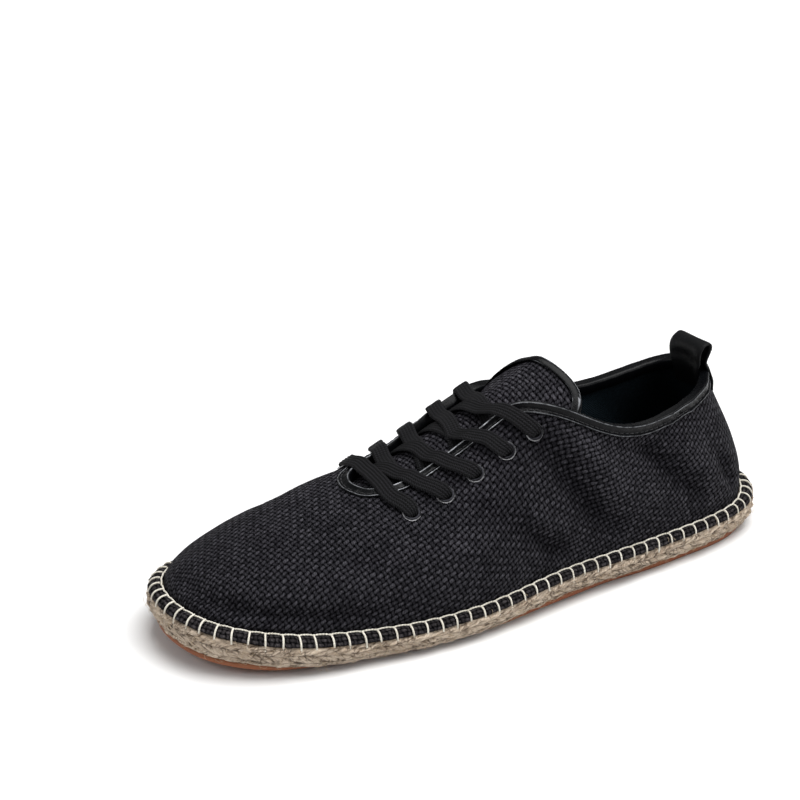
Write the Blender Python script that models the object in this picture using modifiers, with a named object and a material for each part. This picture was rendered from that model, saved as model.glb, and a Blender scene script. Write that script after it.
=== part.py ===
# Lace-up espadrille for the left foot: braided sole, woven upper, leather trim.
# Frame: +Z up, toe towards -Y, outer side of the foot towards +X, the ground at Z = 0.
# Lengths are metres. "Along" runs from the back of the heel to the toe, "across" to the outer side.

import math

import bmesh
import bpy
import numpy as np
from mathutils import Matrix

# Driving sizes
SOLE_LENGTH = 0.283
BALL_WIDTH = 0.103
HEEL_STACK = 0.0152
BALL_STACK = 0.0131
TOE_STACK = 0.0172
TOE_SPRING = 0.0063
ARCH_RISE = 0.0012
COLLAR_HEIGHT = 0.085
GAP = 0.0003
OUTSOLE_THICKNESS = 0.0025
OUTSOLE_INSET = 0.0034
BRAID_BULGE = 0.0008
UNDERCUT = 0.0026
WELT_WIDTH = 0.0058
WELT_DEPTH = 0.0032
WELT_WALL = 0.0013
CLOTH_WALL = 0.0018
INSOLE_THICKNESS = 0.0022
BINDING_DEPTH = 0.0050
BINDING_SKIN = 0.0008
TONGUE_WALL = 0.0020
TONGUE_PLAY = 0.0002
CEILING_REACH = 0.0040
TONGUE_BINDING_DEPTH = 0.0036
LOOP_WIDTH = 0.0220
LOOP_LEATHER = 0.0012
LOOP_HEIGHT = 0.0125
LOOP_BULGE = 0.0014
LOOP_LEAN = 0.0015
LOOP_LEG = 0.0120
EYELET_RADIUS = 0.0043
EYELET_BORE = 0.0022
EYELET_FLANGE = 0.0007
EYELET_WALL = 0.0004
EYELET_SIDES = 10
LACE_WIDTH = 0.0076
LACE_THICKNESS = 0.0014
LACE_TIP_WIDTH = 0.0030
LACE_PLAY = 0.0003
LACE_RIM_LIFT = 0.0007
LACE_RUN = 0.0085
LACE_BAR_RUN = 0.0050
LACE_BAR_BOW = 0.0010
LACE_CROSS_LIFT = 0.0011
LACE_SECTIONS = 12
LACE_BAR_SECTIONS = 18
LACE_CROWDING = 1.5

# Sole outline: share of the sole's length, outer and inner half widths as shares of the ball width
SOLE_OUTLINE = (
    (0.012, 0.118, 0.151),
    (0.050, 0.246, 0.271),
    (0.120, 0.329, 0.325),
    (0.220, 0.371, 0.325),
    (0.330, 0.403, 0.294),
    (0.440, 0.442, 0.289),
    (0.550, 0.490, 0.344),
    (0.650, 0.502, 0.429),
    (0.730, 0.481, 0.484),
    (0.810, 0.452, 0.495),
    (0.880, 0.405, 0.457),
    (0.940, 0.318, 0.371),
    (0.980, 0.200, 0.245),
)
TOE_TIP_ACROSS = -0.029

# Upper, one row for each line from the sole's edge up to the rim, round from the heel by the outer side.
# foot: share of the sole's length. rim along, across, height: shares of sole length, ball width and
# collar height. belly out, rise, shoulder back, shoulder drop: how the line bends at its foot and at
# its rim, as shares of the collar height.
OUTER_ROWS = (
    # foot, along, across, height, belly, rise, back, drop
    (0.000, 0.097, 0.000, 0.853, 0.006, 0.235, 0.082, 0.212),
    (0.035, 0.110, 0.117, 0.841, 0.018, 0.235, 0.071, 0.212),
    (0.105, 0.145, 0.199, 0.812, 0.035, 0.235, 0.035, 0.212),
    (0.185, 0.201, 0.252, 0.784, 0.041, 0.235, 0.024, 0.212),
    (0.265, 0.265, 0.277, 0.772, 0.041, 0.235, 0.035, 0.212),
    (0.340, 0.329, 0.279, 0.827, 0.041, 0.259, 0.047, 0.224),
    (0.410, 0.389, 0.255, 0.932, 0.035, 0.294, 0.071, 0.212),
    (0.470, 0.435, 0.221, 0.991, 0.035, 0.318, 0.094, 0.176),
    (0.520, 0.468, 0.182, 0.991, 0.035, 0.318, 0.118, 0.153),
    (0.570, 0.496, 0.155, 0.925, 0.041, 0.306, 0.129, 0.129),
    (0.630, 0.544, 0.134, 0.819, 0.041, 0.259, 0.153, 0.118),
    (0.690, 0.595, 0.126, 0.734, 0.041, 0.224, 0.188, 0.106),
    (0.755, 0.643, 0.122, 0.678, 0.035, 0.200, 0.247, 0.094),
    (0.835, 0.677, 0.087, 0.654, 0.029, 0.176, 0.329, 0.082),
    (0.925, 0.690, 0.044, 0.649, 0.009, 0.153, 0.424, 0.094),
    (1.000, 0.694, 0.000, 0.649, -0.006, 0.135, 0.447, 0.094),
)
# The inner side's rows, from the toe back to the heel
INNER_ROWS = (
    (0.925, 0.690, 0.044, 0.649, -0.006, 0.141, 0.424, 0.094),
    (0.835, 0.677, 0.087, 0.654, 0.009, 0.165, 0.329, 0.082),
    (0.755, 0.643, 0.122, 0.678, 0.024, 0.200, 0.235, 0.094),
    (0.690, 0.595, 0.126, 0.734, 0.029, 0.224, 0.176, 0.106),
    (0.630, 0.544, 0.134, 0.819, 0.024, 0.259, 0.141, 0.118),
    (0.570, 0.496, 0.144, 0.885, 0.012, 0.294, 0.106, 0.129),
    (0.520, 0.468, 0.155, 0.911, 0.006, 0.306, 0.082, 0.141),
    (0.470, 0.435, 0.175, 0.908, 0.000, 0.306, 0.059, 0.153),
    (0.410, 0.389, 0.194, 0.868, 0.000, 0.282, 0.035, 0.176),
    (0.340, 0.329, 0.206, 0.799, 0.012, 0.259, 0.024, 0.200),
    (0.265, 0.265, 0.204, 0.758, 0.024, 0.235, 0.012, 0.212),
    (0.185, 0.201, 0.194, 0.772, 0.035, 0.235, 0.012, 0.212),
    (0.105, 0.145, 0.173, 0.805, 0.035, 0.235, 0.035, 0.212),
    (0.035, 0.110, 0.112, 0.839, 0.018, 0.235, 0.071, 0.212),
)
ROW_COUNT = len(OUTER_ROWS) + len(INNER_ROWS)
TOE_ROW = len(OUTER_ROWS) - 1
# Facets between one row and the next, from the heel to the toe: most where the sole or throat turns
ROW_FACETS = (4, 3, 2, 2, 2, 2, 2, 3, 3, 3, 3, 3, 3, 4, 5)
STATION_COUNT = 2 * sum(ROW_FACETS)
FOOT_INSET = WELT_WIDTH + 2.0 * GAP

# Tongue: along as a share of sole length, then top height as a share of collar height, then half width
# and edge drop on the outer and on the inner side, as shares of the ball width
TONGUE_ROWS = (
    # along, height, outer width, outer drop, inner width, inner drop
    (0.730, 0.580, 0.150, 0.020, 0.150, 0.024),
    (0.689, 0.606, 0.160, 0.030, 0.155, 0.036),
    (0.640, 0.678, 0.170, 0.052, 0.160, 0.058),
    (0.583, 0.764, 0.180, 0.075, 0.155, 0.078),
    (0.530, 0.848, 0.185, 0.095, 0.148, 0.090),
    (0.477, 0.935, 0.190, 0.112, 0.138, 0.100),
    (0.424, 1.014, 0.200, 0.140, 0.134, 0.108),
    (0.378, 1.080, 0.215, 0.165, 0.145, 0.125),
)
TONGUE_SLANT = 0.30
TONGUE_BINDING_START = 0.70
TONGUE_FREE_ROW = 9.5
TONGUE_WAYS = 1.0 - np.linspace(1.0, 0.0, 10) ** 1.2
TONGUE_SIDES = np.sin(np.linspace(1.0, -1.0, 11) * 1.25) / math.sin(1.25)

# Eyelets, from the toe end: place along the rows and distance below the rim
EYELETS = (
    (11.42, 0.0188),
    (10.42, 0.0192),
    (9.56, 0.0187),
    (8.42, 0.0183),
    (7.20, 0.0125),
)

CLOTH_COLOUR = (0.026, 0.025, 0.029, 1.0)
LEATHER_COLOUR = (0.012, 0.012, 0.013, 1.0)
LINING_COLOUR = (0.010, 0.010, 0.011, 1.0)
LACE_COLOUR = (0.010, 0.010, 0.011, 1.0)
JUTE_COLOUR = (0.480, 0.355, 0.235, 1.0)
RUBBER_COLOUR = (0.360, 0.110, 0.035, 1.0)
EYELET_COLOUR = (0.300, 0.300, 0.310, 1.0)


def closed_spline(knots, values, wanted):
    # Smooth periodic cubic through the values. The last knot is the first one again.
    count = len(values)
    step = np.diff(knots)
    system = np.zeros((count, count))
    right = np.zeros(values.shape)
    for i in range(count):
        after = (i + 1) % count
        system[i, i - 1] += step[i - 1]
        system[i, i] += 2.0 * (step[i - 1] + step[i])
        system[i, after] += step[i]
        slope_after = (values[after] - values[i]) / step[i]
        slope_before = (values[i] - values[i - 1]) / step[i - 1]
        right[i] = 6.0 * (slope_after - slope_before)
    bend = np.linalg.solve(system, right)
    place = np.mod(np.asarray(wanted, dtype=float) - knots[0], knots[-1] - knots[0]) + knots[0]
    span = np.clip(np.searchsorted(knots, place, side="right") - 1, 0, count - 1)
    width = step[span][:, None]
    after_share = (place - knots[span])[:, None] / width
    before_share = 1.0 - after_share
    nxt = (span + 1) % count
    straight = before_share * values[span] + after_share * values[nxt]
    curve = (before_share ** 3 - before_share) * bend[span] + (after_share ** 3 - after_share) * bend[nxt]
    return straight + curve * width ** 2 / 6.0


def outline_points():
    points = [(0.0, 0.0)]
    for along, outer, inner in SOLE_OUTLINE:
        points.append((along * SOLE_LENGTH, outer * BALL_WIDTH))
    points.append((SOLE_LENGTH, TOE_TIP_ACROSS * BALL_WIDTH))
    for along, outer, inner in reversed(SOLE_OUTLINE):
        points.append((along * SOLE_LENGTH, -inner * BALL_WIDTH))
    return np.array(points)


def chord_knots(points):
    closed = np.vstack([points, points[:1]])
    lengths = np.linalg.norm(np.diff(closed, axis=0), axis=1)
    return np.concatenate([[0.0], np.cumsum(lengths)])


OUTLINE = outline_points()
OUTLINE_KNOTS = chord_knots(OUTLINE)
PERIMETER = OUTLINE_KNOTS[-1]
TOE_PLACE = OUTLINE_KNOTS[len(SOLE_OUTLINE) + 1]
FINE = np.linspace(0.0, PERIMETER, 2400, endpoint=False)
FINE_OUTLINE = closed_spline(OUTLINE_KNOTS, OUTLINE, FINE)
CENTRE = 0.5 * (FINE_OUTLINE.max(axis=0) + FINE_OUTLINE.min(axis=0))


def sole_edge(place, inset):
    # Point on the sole's outline moved inwards, and the outward direction there
    reach = 0.001
    here = closed_spline(OUTLINE_KNOTS, OUTLINE, place)
    ahead = closed_spline(OUTLINE_KNOTS, OUTLINE, place + reach)
    behind = closed_spline(OUTLINE_KNOTS, OUTLINE, place - reach)
    heading = ahead - behind
    heading = heading / np.linalg.norm(heading, axis=1)[:, None]
    outward = np.stack([-heading[:, 1], heading[:, 0]], axis=1)
    return here - outward * np.reshape(inset, (-1, 1)), outward


def ground_line(along):
    # Height of the sole's underside: flat heel and ball, a low arch, and the toe spring
    share = along / SOLE_LENGTH
    toe = TOE_SPRING * np.clip((share - 0.70) / 0.30, 0.0, None) ** 2
    arch = ARCH_RISE * np.sin(np.pi * np.clip((share - 0.27) / 0.31, 0.0, 1.0)) ** 2
    return toe + arch


def sole_top(along):
    share = np.clip(along / SOLE_LENGTH, 0.0, 1.0)
    stack = HEEL_STACK + (BALL_STACK - HEEL_STACK) * np.clip(share / 0.68, 0.0, 1.0)
    stack = stack + (TOE_STACK - BALL_STACK) * np.clip((share - 0.68) / 0.32, 0.0, 1.0) ** 1.4
    return ground_line(along) + stack


def world(points):
    # From along, across, height to X, Y, Z
    points = np.asarray(points)
    return np.stack([points[..., 1] - CENTRE[1], CENTRE[0] - points[..., 0], points[..., 2]], axis=-1)


def foot_place(share, side):
    half = FINE < TOE_PLACE if side > 0 else FINE >= TOE_PLACE
    distance = np.abs(FINE_OUTLINE[:, 0] - share * SOLE_LENGTH) + np.where(half, 0.0, 1.0)
    return FINE[distance.argmin()]


def upper_rows():
    # Place of each row on the outline, and its sizes in metres
    places = []
    sizes = []
    scale = (SOLE_LENGTH, BALL_WIDTH, COLLAR_HEIGHT, COLLAR_HEIGHT, COLLAR_HEIGHT, COLLAR_HEIGHT, COLLAR_HEIGHT)
    for index, row in enumerate(OUTER_ROWS + INNER_ROWS):
        side = 1.0 if index <= TOE_ROW else -1.0
        if index == 0:
            places.append(0.0)
        elif index == TOE_ROW:
            places.append(TOE_PLACE)
        else:
            places.append(foot_place(row[0], side))
        size = [value * unit for value, unit in zip(row[1:], scale)]
        size[1] *= side
        sizes.append(size)
    return np.array(places), np.array(sizes)


ROW_PLACES, ROW_SIZES = upper_rows()
ROW_KNOTS = np.arange(ROW_COUNT + 1.0)


def row_place(row):
    even = np.arange(ROW_COUNT) * PERIMETER / ROW_COUNT
    shift = closed_spline(ROW_KNOTS, (ROW_PLACES - even)[:, None], row)
    return shift[:, 0] + row * PERIMETER / ROW_COUNT


def upper_line(row, share):
    # Points of the upper's outer face on the lines at these rows, at shares of the way to the rim
    row = np.atleast_1d(np.asarray(row, dtype=float))
    size = closed_spline(ROW_KNOTS, ROW_SIZES, row)
    foot, outward = sole_edge(row_place(row), FOOT_INSET)
    low = np.column_stack([foot, sole_top(foot[:, 0]) + 2.0 * GAP])
    rim = size[:, :3]
    inward = rim - low
    inward[:, 2] = 0.0
    inward = inward / np.linalg.norm(inward, axis=1)[:, None]
    belly = low + np.column_stack([outward * size[:, 3:4], size[:, 4]])
    shoulder = rim - inward * size[:, 5:6]
    shoulder[:, 2] -= size[:, 6]
    share = np.asarray(share, dtype=float)[..., None]
    rest = 1.0 - share
    return rest ** 3 * low + 3.0 * rest ** 2 * share * belly + 3.0 * rest * share ** 2 * shoulder + share ** 3 * rim


def share_at_depth(row, depth):
    # Share of the way to the rim at a distance below it, measured on the line
    shares = np.linspace(0.0, 1.0, 121)
    line = upper_line(row, shares[:, None])
    lengths = np.linalg.norm(np.diff(line, axis=0), axis=2)
    climbed = np.vstack([np.zeros(line.shape[1]), np.cumsum(lengths, axis=0)])
    result = []
    for column in range(line.shape[1]):
        result.append(np.interp(climbed[-1, column] - depth, climbed[:, column], shares))
    return np.array(result)


def upper_skin(row, depth, out):
    # Point at a distance below the rim, lifted off the upper's outer face, in along, across, height
    row = np.atleast_1d(np.asarray(row, dtype=float))
    share = share_at_depth(row, depth)
    point = upper_line(row, share)
    reach = 0.02
    around = upper_line(row + reach, share) - upper_line(row - reach, share)
    upward = upper_line(row, share) - upper_line(row, share - reach)
    normal = np.cross(upward, around)
    normal = normal / np.linalg.norm(normal, axis=1)[:, None]
    return point + normal * out, normal, upward / np.linalg.norm(upward, axis=1)[:, None]


def material(name, colour, roughness, metallic=0.0):
    made = bpy.data.materials.new(name)
    made.use_nodes = True
    shader = made.node_tree.nodes["Principled BSDF"]
    shader.inputs["Base Color"].default_value = colour
    shader.inputs["Roughness"].default_value = roughness
    shader.inputs["Metallic"].default_value = metallic
    return made


def add_object(name, points, faces, look, home):
    mesh = bpy.data.meshes.new(name)
    mesh.from_pydata([tuple(point) for point in world(points)], [], faces)
    mesh.materials.append(look)
    thing = bpy.data.objects.new(name, mesh)
    home.objects.link(thing)
    return thing


def face_outwards(thing):
    shape = bmesh.new()
    shape.from_mesh(thing.data)
    bmesh.ops.recalc_face_normals(shape, faces=shape.faces)
    shape.to_mesh(thing.data)
    shape.free()
    thing.data.shade_smooth()
    thing.data.set_sharp_from_angle(angle=math.radians(45.0))


def ring_faces(rings, size, closed):
    # Quads between neighbouring rings of points, each ring closed on itself or an open row
    faces = []
    last = size if closed else size - 1
    for ring in range(rings - 1):
        for i in range(last):
            j = (i + 1) % size
            faces.append((ring * size + i, (ring + 1) * size + i, (ring + 1) * size + j, ring * size + j))
    return faces


def ladder_faces(start, size):
    # Closes a ring that runs heel, outer side, toe, inner side with rungs across the sole
    faces = [(start, start + 1, start + size - 1)]
    half = size // 2
    for i in range(1, half - 1):
        faces.append((start + i, start + i + 1, start + size - i - 1, start + size - i))
    faces.append((start + half - 1, start + half, start + half + 1))
    return faces


def stacked_plate(name, rings, look, home):
    # A solid from closed rings, bottom first, with flat ladders under and over it
    size = len(rings[0])
    faces = ring_faces(len(rings), size, True)
    faces += ladder_faces(0, size)
    faces += ladder_faces((len(rings) - 1) * size, size)
    thing = add_object(name, np.vstack(rings), faces, look, home)
    face_outwards(thing)
    return thing


def swept_ring(name, sections, look, home):
    # A closed band whose section is swept all the way round
    count = len(sections)
    size = len(sections[0])
    faces = []
    for section in range(count):
        after = (section + 1) % count
        for i in range(size):
            j = (i + 1) % size
            faces.append((section * size + i, section * size + j, after * size + j, after * size + i))
    thing = add_object(name, np.vstack(sections), faces, look, home)
    face_outwards(thing)
    return thing


def swept_strip(name, sections, look, home):
    # A band with two closed ends
    count = len(sections)
    size = len(sections[0])
    faces = ring_faces(count, size, True)
    faces.append(tuple(range(size)))
    faces.append(tuple((count - 1) * size + i for i in range(size)))
    thing = add_object(name, np.vstack(sections), faces, look, home)
    face_outwards(thing)
    return thing


def station_rows():
    rows = []
    for row, facets in enumerate(ROW_FACETS + ROW_FACETS[::-1]):
        rows += [row + step / facets for step in range(facets)]
    return np.array(rows)


STATION_ROWS = station_rows()
STATION_PLACES = row_place(STATION_ROWS)


def sole_ring(inset, height):
    # Ring round the sole. The height is given as a function of the along place.
    edge, outward = sole_edge(STATION_PLACES, inset)
    return np.column_stack([edge, height(edge[:, 0])])


def build_outsole(look, home):
    rings = [
        sole_ring(OUTSOLE_INSET, ground_line),
        sole_ring(OUTSOLE_INSET, lambda along: ground_line(along) + OUTSOLE_THICKNESS),
    ]
    return stacked_plate("outsole", rings, look, home)


def build_midsole(look, home):
    base = OUTSOLE_THICKNESS + GAP
    bed = WELT_WALL + GAP
    shelf = WELT_DEPTH + GAP

    def side(share):
        # Height on the side, from the rubber up to the shelf under the welt
        def height(along):
            low = ground_line(along) + base
            return low + share * (sole_top(along) - shelf - low)
        return height

    rings = [
        sole_ring(UNDERCUT, side(0.0)),
        sole_ring(0.3 * UNDERCUT, side(0.22)),
        sole_ring(-BRAID_BULGE, side(0.62)),
        sole_ring(0.0, side(1.0)),
        sole_ring(WELT_WALL + GAP, side(1.0)),
        sole_ring(WELT_WALL + 0.0012, lambda along: sole_top(along) - bed),
    ]
    return stacked_plate("midsole", rings, look, home)


def build_welt(look, home):
    # Quarter-round band: inset from the outline, and height over the sole's top
    profile = (
        (0.0, -WELT_DEPTH),
        (0.08 * WELT_WIDTH, -0.30 * WELT_DEPTH),
        (0.38 * WELT_WIDTH, 0.0),
        (WELT_WIDTH, 0.0),
        (WELT_WIDTH, -WELT_WALL),
        (WELT_WALL + 0.0010, -WELT_WALL),
        (WELT_WALL, -WELT_DEPTH),
    )
    rings = [sole_ring(inset, lambda along, lift=lift: sole_top(along) + lift) for inset, lift in profile]
    sections = [np.array([ring[i] for ring in rings]) for i in range(STATION_COUNT)]
    return swept_ring("welt_band", sections, look, home)


def build_insole(look, home):
    inset = FOOT_INSET + CLOTH_WALL + 2.0 * GAP
    base = -WELT_WALL
    rings = [
        sole_ring(inset, lambda along: sole_top(along) + base),
        sole_ring(inset, lambda along: sole_top(along) + base + INSOLE_THICKNESS),
    ]
    return stacked_plate("insole", rings, look, home)


def eyelet_frame(row, depth):
    point, normal, upward = upper_skin(row, depth, 0.0)
    centre = world(point)[0]
    tip = world(point + normal)[0]
    rise = world(point + upward)[0]
    axis = tip - centre
    axis = axis / np.linalg.norm(axis)
    side = np.cross(rise - centre, axis)
    side = side / np.linalg.norm(side)
    frame = Matrix.Identity(4)
    for i in range(3):
        frame[i][0] = side[i]
        frame[i][1] = np.cross(axis, side)[i]
        frame[i][2] = axis[i]
        frame[i][3] = centre[i]
    return frame


def eyelet_places():
    # Name, row and depth of each eyelet. The inner side mirrors the outer side's rows.
    places = []
    for number, (row, depth) in enumerate(EYELETS, start=1):
        places.append((f"eyelet_out_{number}", row, depth))
        places.append((f"eyelet_in_{number}", ROW_COUNT - row, depth))
    return places


def build_upper(look, home, cutters):
    edge = BINDING_SKIN + 2.0 * GAP
    rows = STATION_ROWS
    foot = upper_line(rows, np.zeros(STATION_COUNT))
    foot[:, 2] = sole_top(foot[:, 0]) - WELT_WALL
    rings = [foot]
    binding_share = share_at_depth(rows, BINDING_DEPTH + GAP)
    for part in (0.0, 0.12, 0.31, 0.54, 0.78, 1.0):
        rings.append(upper_line(rows, part * binding_share))
    rings.append(upper_line(rows, share_at_depth(rows, edge)))
    faces = ring_faces(len(rings), STATION_COUNT, True)
    upper = add_object("upper", np.vstack(rings), faces, look, home)
    wall = upper.modifiers.new("wall", "SOLIDIFY")
    wall.thickness = CLOTH_WALL
    wall.offset = -1.0
    wall.use_even_offset = True
    upper.data.shade_smooth()
    holes = upper.modifiers.new("eyelet_holes", "BOOLEAN")
    holes.operation = "DIFFERENCE"
    holes.solver = "EXACT"
    holes.object = build_hole_cutter(cutters)
    return upper


def build_hole_cutter(cutters):
    shape = bmesh.new()
    bore = EYELET_BORE + EYELET_WALL + GAP
    for name, row, depth in eyelet_places():
        bmesh.ops.create_cone(
            shape,
            cap_ends=True,
            segments=EYELET_SIDES,
            radius1=bore,
            radius2=bore,
            depth=6.0 * CLOTH_WALL,
            matrix=eyelet_frame(row, depth),
        )
    mesh = bpy.data.meshes.new("eyelet_hole_cutter")
    shape.to_mesh(mesh)
    shape.free()
    cutter = bpy.data.objects.new("eyelet_hole_cutter", mesh)
    cutters.objects.link(cutter)
    cutter.hide_render = True
    cutter.display_type = "WIRE"
    return cutter


def build_eyelets(look, home):
    # One turned profile: a barrel through the wall and a flange over it
    barrel = EYELET_BORE + EYELET_WALL
    profile = (
        (EYELET_BORE, -CLOTH_WALL),
        (EYELET_BORE, EYELET_FLANGE + GAP),
        (0.95 * EYELET_RADIUS, EYELET_FLANGE + GAP),
        (EYELET_RADIUS, GAP),
        (barrel, GAP),
        (barrel, -CLOTH_WALL),
    )
    mesh = bpy.data.meshes.new("eyelet")
    edges = [(i, (i + 1) % len(profile)) for i in range(len(profile))]
    mesh.from_pydata([(radius, 0.0, height) for radius, height in profile], edges, [])
    mesh.materials.append(look)
    for name, row, depth in eyelet_places():
        eyelet = bpy.data.objects.new(name, mesh)
        home.objects.link(eyelet)
        eyelet.matrix_world = eyelet_frame(row, depth)
        turn = eyelet.modifiers.new("turn", "SCREW")
        turn.axis = "Z"
        turn.angle = math.tau
        turn.steps = EYELET_SIDES
        turn.render_steps = EYELET_SIDES
        turn.use_merge_vertices = True
        turn.merge_threshold = 0.00001
        turn.use_smooth_shade = True


def build_collar_binding(look, home):
    # Leather folded over the rim: depth below the rim, and distance out from the upper's outer face
    inner = -CLOTH_WALL - GAP
    fold = BINDING_SKIN + GAP
    profile = (
        (BINDING_DEPTH, GAP),
        (BINDING_DEPTH - 0.0001, GAP + BINDING_SKIN),
        (fold, GAP + BINDING_SKIN),
        (0.0, 0.0),
        (0.0, -CLOTH_WALL),
        (fold, inner - BINDING_SKIN),
        (BINDING_DEPTH - 0.0001, inner - BINDING_SKIN),
        (BINDING_DEPTH, inner),
        (fold, inner),
        (fold, GAP),
    )
    rings = [upper_skin(STATION_ROWS, depth, out)[0] for depth, out in profile]
    sections = [np.array([ring[i] for ring in rings]) for i in range(STATION_COUNT)]
    return swept_ring("collar_binding", sections, look, home)


def tongue_sizes(along):
    rows = np.array(TONGUE_ROWS)
    order = np.argsort(rows[:, 0])
    share = np.clip(along / SOLE_LENGTH, rows[:, 0].min(), rows[:, 0].max())
    columns = [np.interp(share, rows[order, 0], rows[order, i]) for i in range(1, 6)]
    height = columns[0] * COLLAR_HEIGHT
    return height, [column * BALL_WIDTH for column in columns[1:]]


def ceiling_samples():
    # Points of the face that the tongue must stay under, inside the upper and its binding
    depths = np.linspace(0.0, 0.024, 17)
    rows = np.linspace(5.5, ROW_COUNT - 5.5, 136)
    inside = np.full(rows.shape, CLOTH_WALL + BINDING_SKIN + 2.0 * GAP + TONGUE_PLAY)
    # Beside the ears the tongue's own binding has to pass as well
    beside_ears = np.minimum(rows, ROW_COUNT - rows) < TONGUE_FREE_ROW
    inside[beside_ears] += BINDING_SKIN + GAP
    return np.vstack([upper_skin(rows, depth, -inside[:, None])[0] for depth in depths])


CEILING = ceiling_samples()


def ceiling_height(along, across):
    # Height of that face, from a plane through its nearest points, and how near those are (1 to 0)
    level = np.zeros(np.shape(along))
    nearness = np.zeros(np.shape(along))
    for index in np.ndindex(level.shape):
        away = CEILING[:, :2] - (along[index], across[index])
        distance = np.linalg.norm(away, axis=1)
        near = np.argsort(distance)[:8]
        nearness[index] = np.clip((CEILING_REACH - distance[near[0]]) / (0.6 * CEILING_REACH), 0.0, 1.0)
        plane = np.column_stack([np.ones(len(near)), away[near]])
        level[index] = np.linalg.lstsq(plane, CEILING[near, 2], rcond=None)[0][0]
    return level, nearness


def tongue_height(along, across):
    # Height of the tongue's upper face, kept under the throat's edges
    height, (outer, outer_drop, inner, inner_drop) = tongue_sizes(along)
    reach = np.where(across > 0.0, across / outer, -across / inner)
    drop = np.where(across > 0.0, outer_drop, inner_drop)
    free = height - drop * reach ** 2
    ceiling, nearness = ceiling_height(along, across)
    return free - nearness * np.maximum(free - ceiling, 0.0)


def tongue_point(way, side):
    # way runs from the front under the throat (0) to the top edge (1), side from -1 to 1
    front = TONGUE_ROWS[0][0] * SOLE_LENGTH
    top = TONGUE_ROWS[-1][0] * SOLE_LENGTH
    height, (outer, outer_drop, inner, inner_drop) = tongue_sizes(top + (front - top) * (1.0 - way))
    across = np.where(side > 0.0, side * outer, side * inner)
    corner = 0.045 * SOLE_LENGTH * np.abs(side) ** 5
    end = top - TONGUE_SLANT * across * (0.4 + 0.6 * way) + corner * way
    along = front + (end - front) * way
    return np.stack([along, across, tongue_height(along, across)], axis=-1)


def build_tongue(look, home):
    points = np.array([tongue_point(np.full(TONGUE_SIDES.shape, way), TONGUE_SIDES) for way in TONGUE_WAYS])
    faces = ring_faces(len(TONGUE_WAYS), len(TONGUE_SIDES), False)
    tongue = add_object("tongue", points.reshape(-1, 3), faces, look, home)
    wall = tongue.modifiers.new("wall", "SOLIDIFY")
    wall.thickness = TONGUE_WALL
    wall.offset = -1.0
    tongue.data.shade_smooth()
    return tongue


def tongue_edge():
    # Path round the tongue's top, from one side edge over the top to the other, as way and side pairs,
    # and the tongue's next points inwards
    up_ways = [way for way in TONGUE_WAYS if TONGUE_BINDING_START < way < 0.99]
    over_sides = TONGUE_SIDES[-2:0:-1]
    low_way = TONGUE_WAYS[-2]
    path = [(way, -1.0) for way in up_ways] + [(1.0, -1.0)]
    inner = [(way, over_sides[0]) for way in up_ways] + [(low_way, over_sides[0])]
    path += [(1.0, side) for side in over_sides]
    inner += [(low_way, side) for side in over_sides]
    path += [(1.0, 1.0)] + [(way, 1.0) for way in reversed(up_ways)]
    inner += [(low_way, over_sides[-1])] + [(way, over_sides[-1]) for way in reversed(up_ways)]
    return np.array(path), np.array(inner)


def build_tongue_binding(look, home):
    path, inner_path = tongue_edge()
    edge = tongue_point(path[:, 0], path[:, 1])
    heading = np.gradient(edge, axis=0)
    heading = heading / np.linalg.norm(heading, axis=1)[:, None]
    inward = tongue_point(inner_path[:, 0], inner_path[:, 1]) - edge
    normal = np.cross(heading, inward)
    normal = normal / np.linalg.norm(normal, axis=1)[:, None]
    normal = normal * np.sign(normal[:, 2:3])
    outward = np.cross(normal, heading)
    outward = outward * np.sign(-(outward * inward).sum(axis=1))[:, None]
    skin = BINDING_SKIN
    play = GAP + TONGUE_PLAY
    # Distance out from the tongue's edge, and lift off its upper face
    profile = (
        (-TONGUE_BINDING_DEPTH, play),
        (-TONGUE_BINDING_DEPTH, play + skin),
        (GAP, play + skin),
        (GAP + skin, -0.5 * TONGUE_WALL),
        (GAP, -TONGUE_WALL - play - skin),
        (-TONGUE_BINDING_DEPTH, -TONGUE_WALL - play - skin),
        (-TONGUE_BINDING_DEPTH, -TONGUE_WALL - play),
        (GAP, -TONGUE_WALL - play),
        (GAP, play),
    )
    sections = []
    for i in range(len(edge)):
        sections.append(np.array([edge[i] + outward[i] * out + normal[i] * lift for out, lift in profile]))
    return swept_strip("tongue_binding", sections, look, home)


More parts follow.
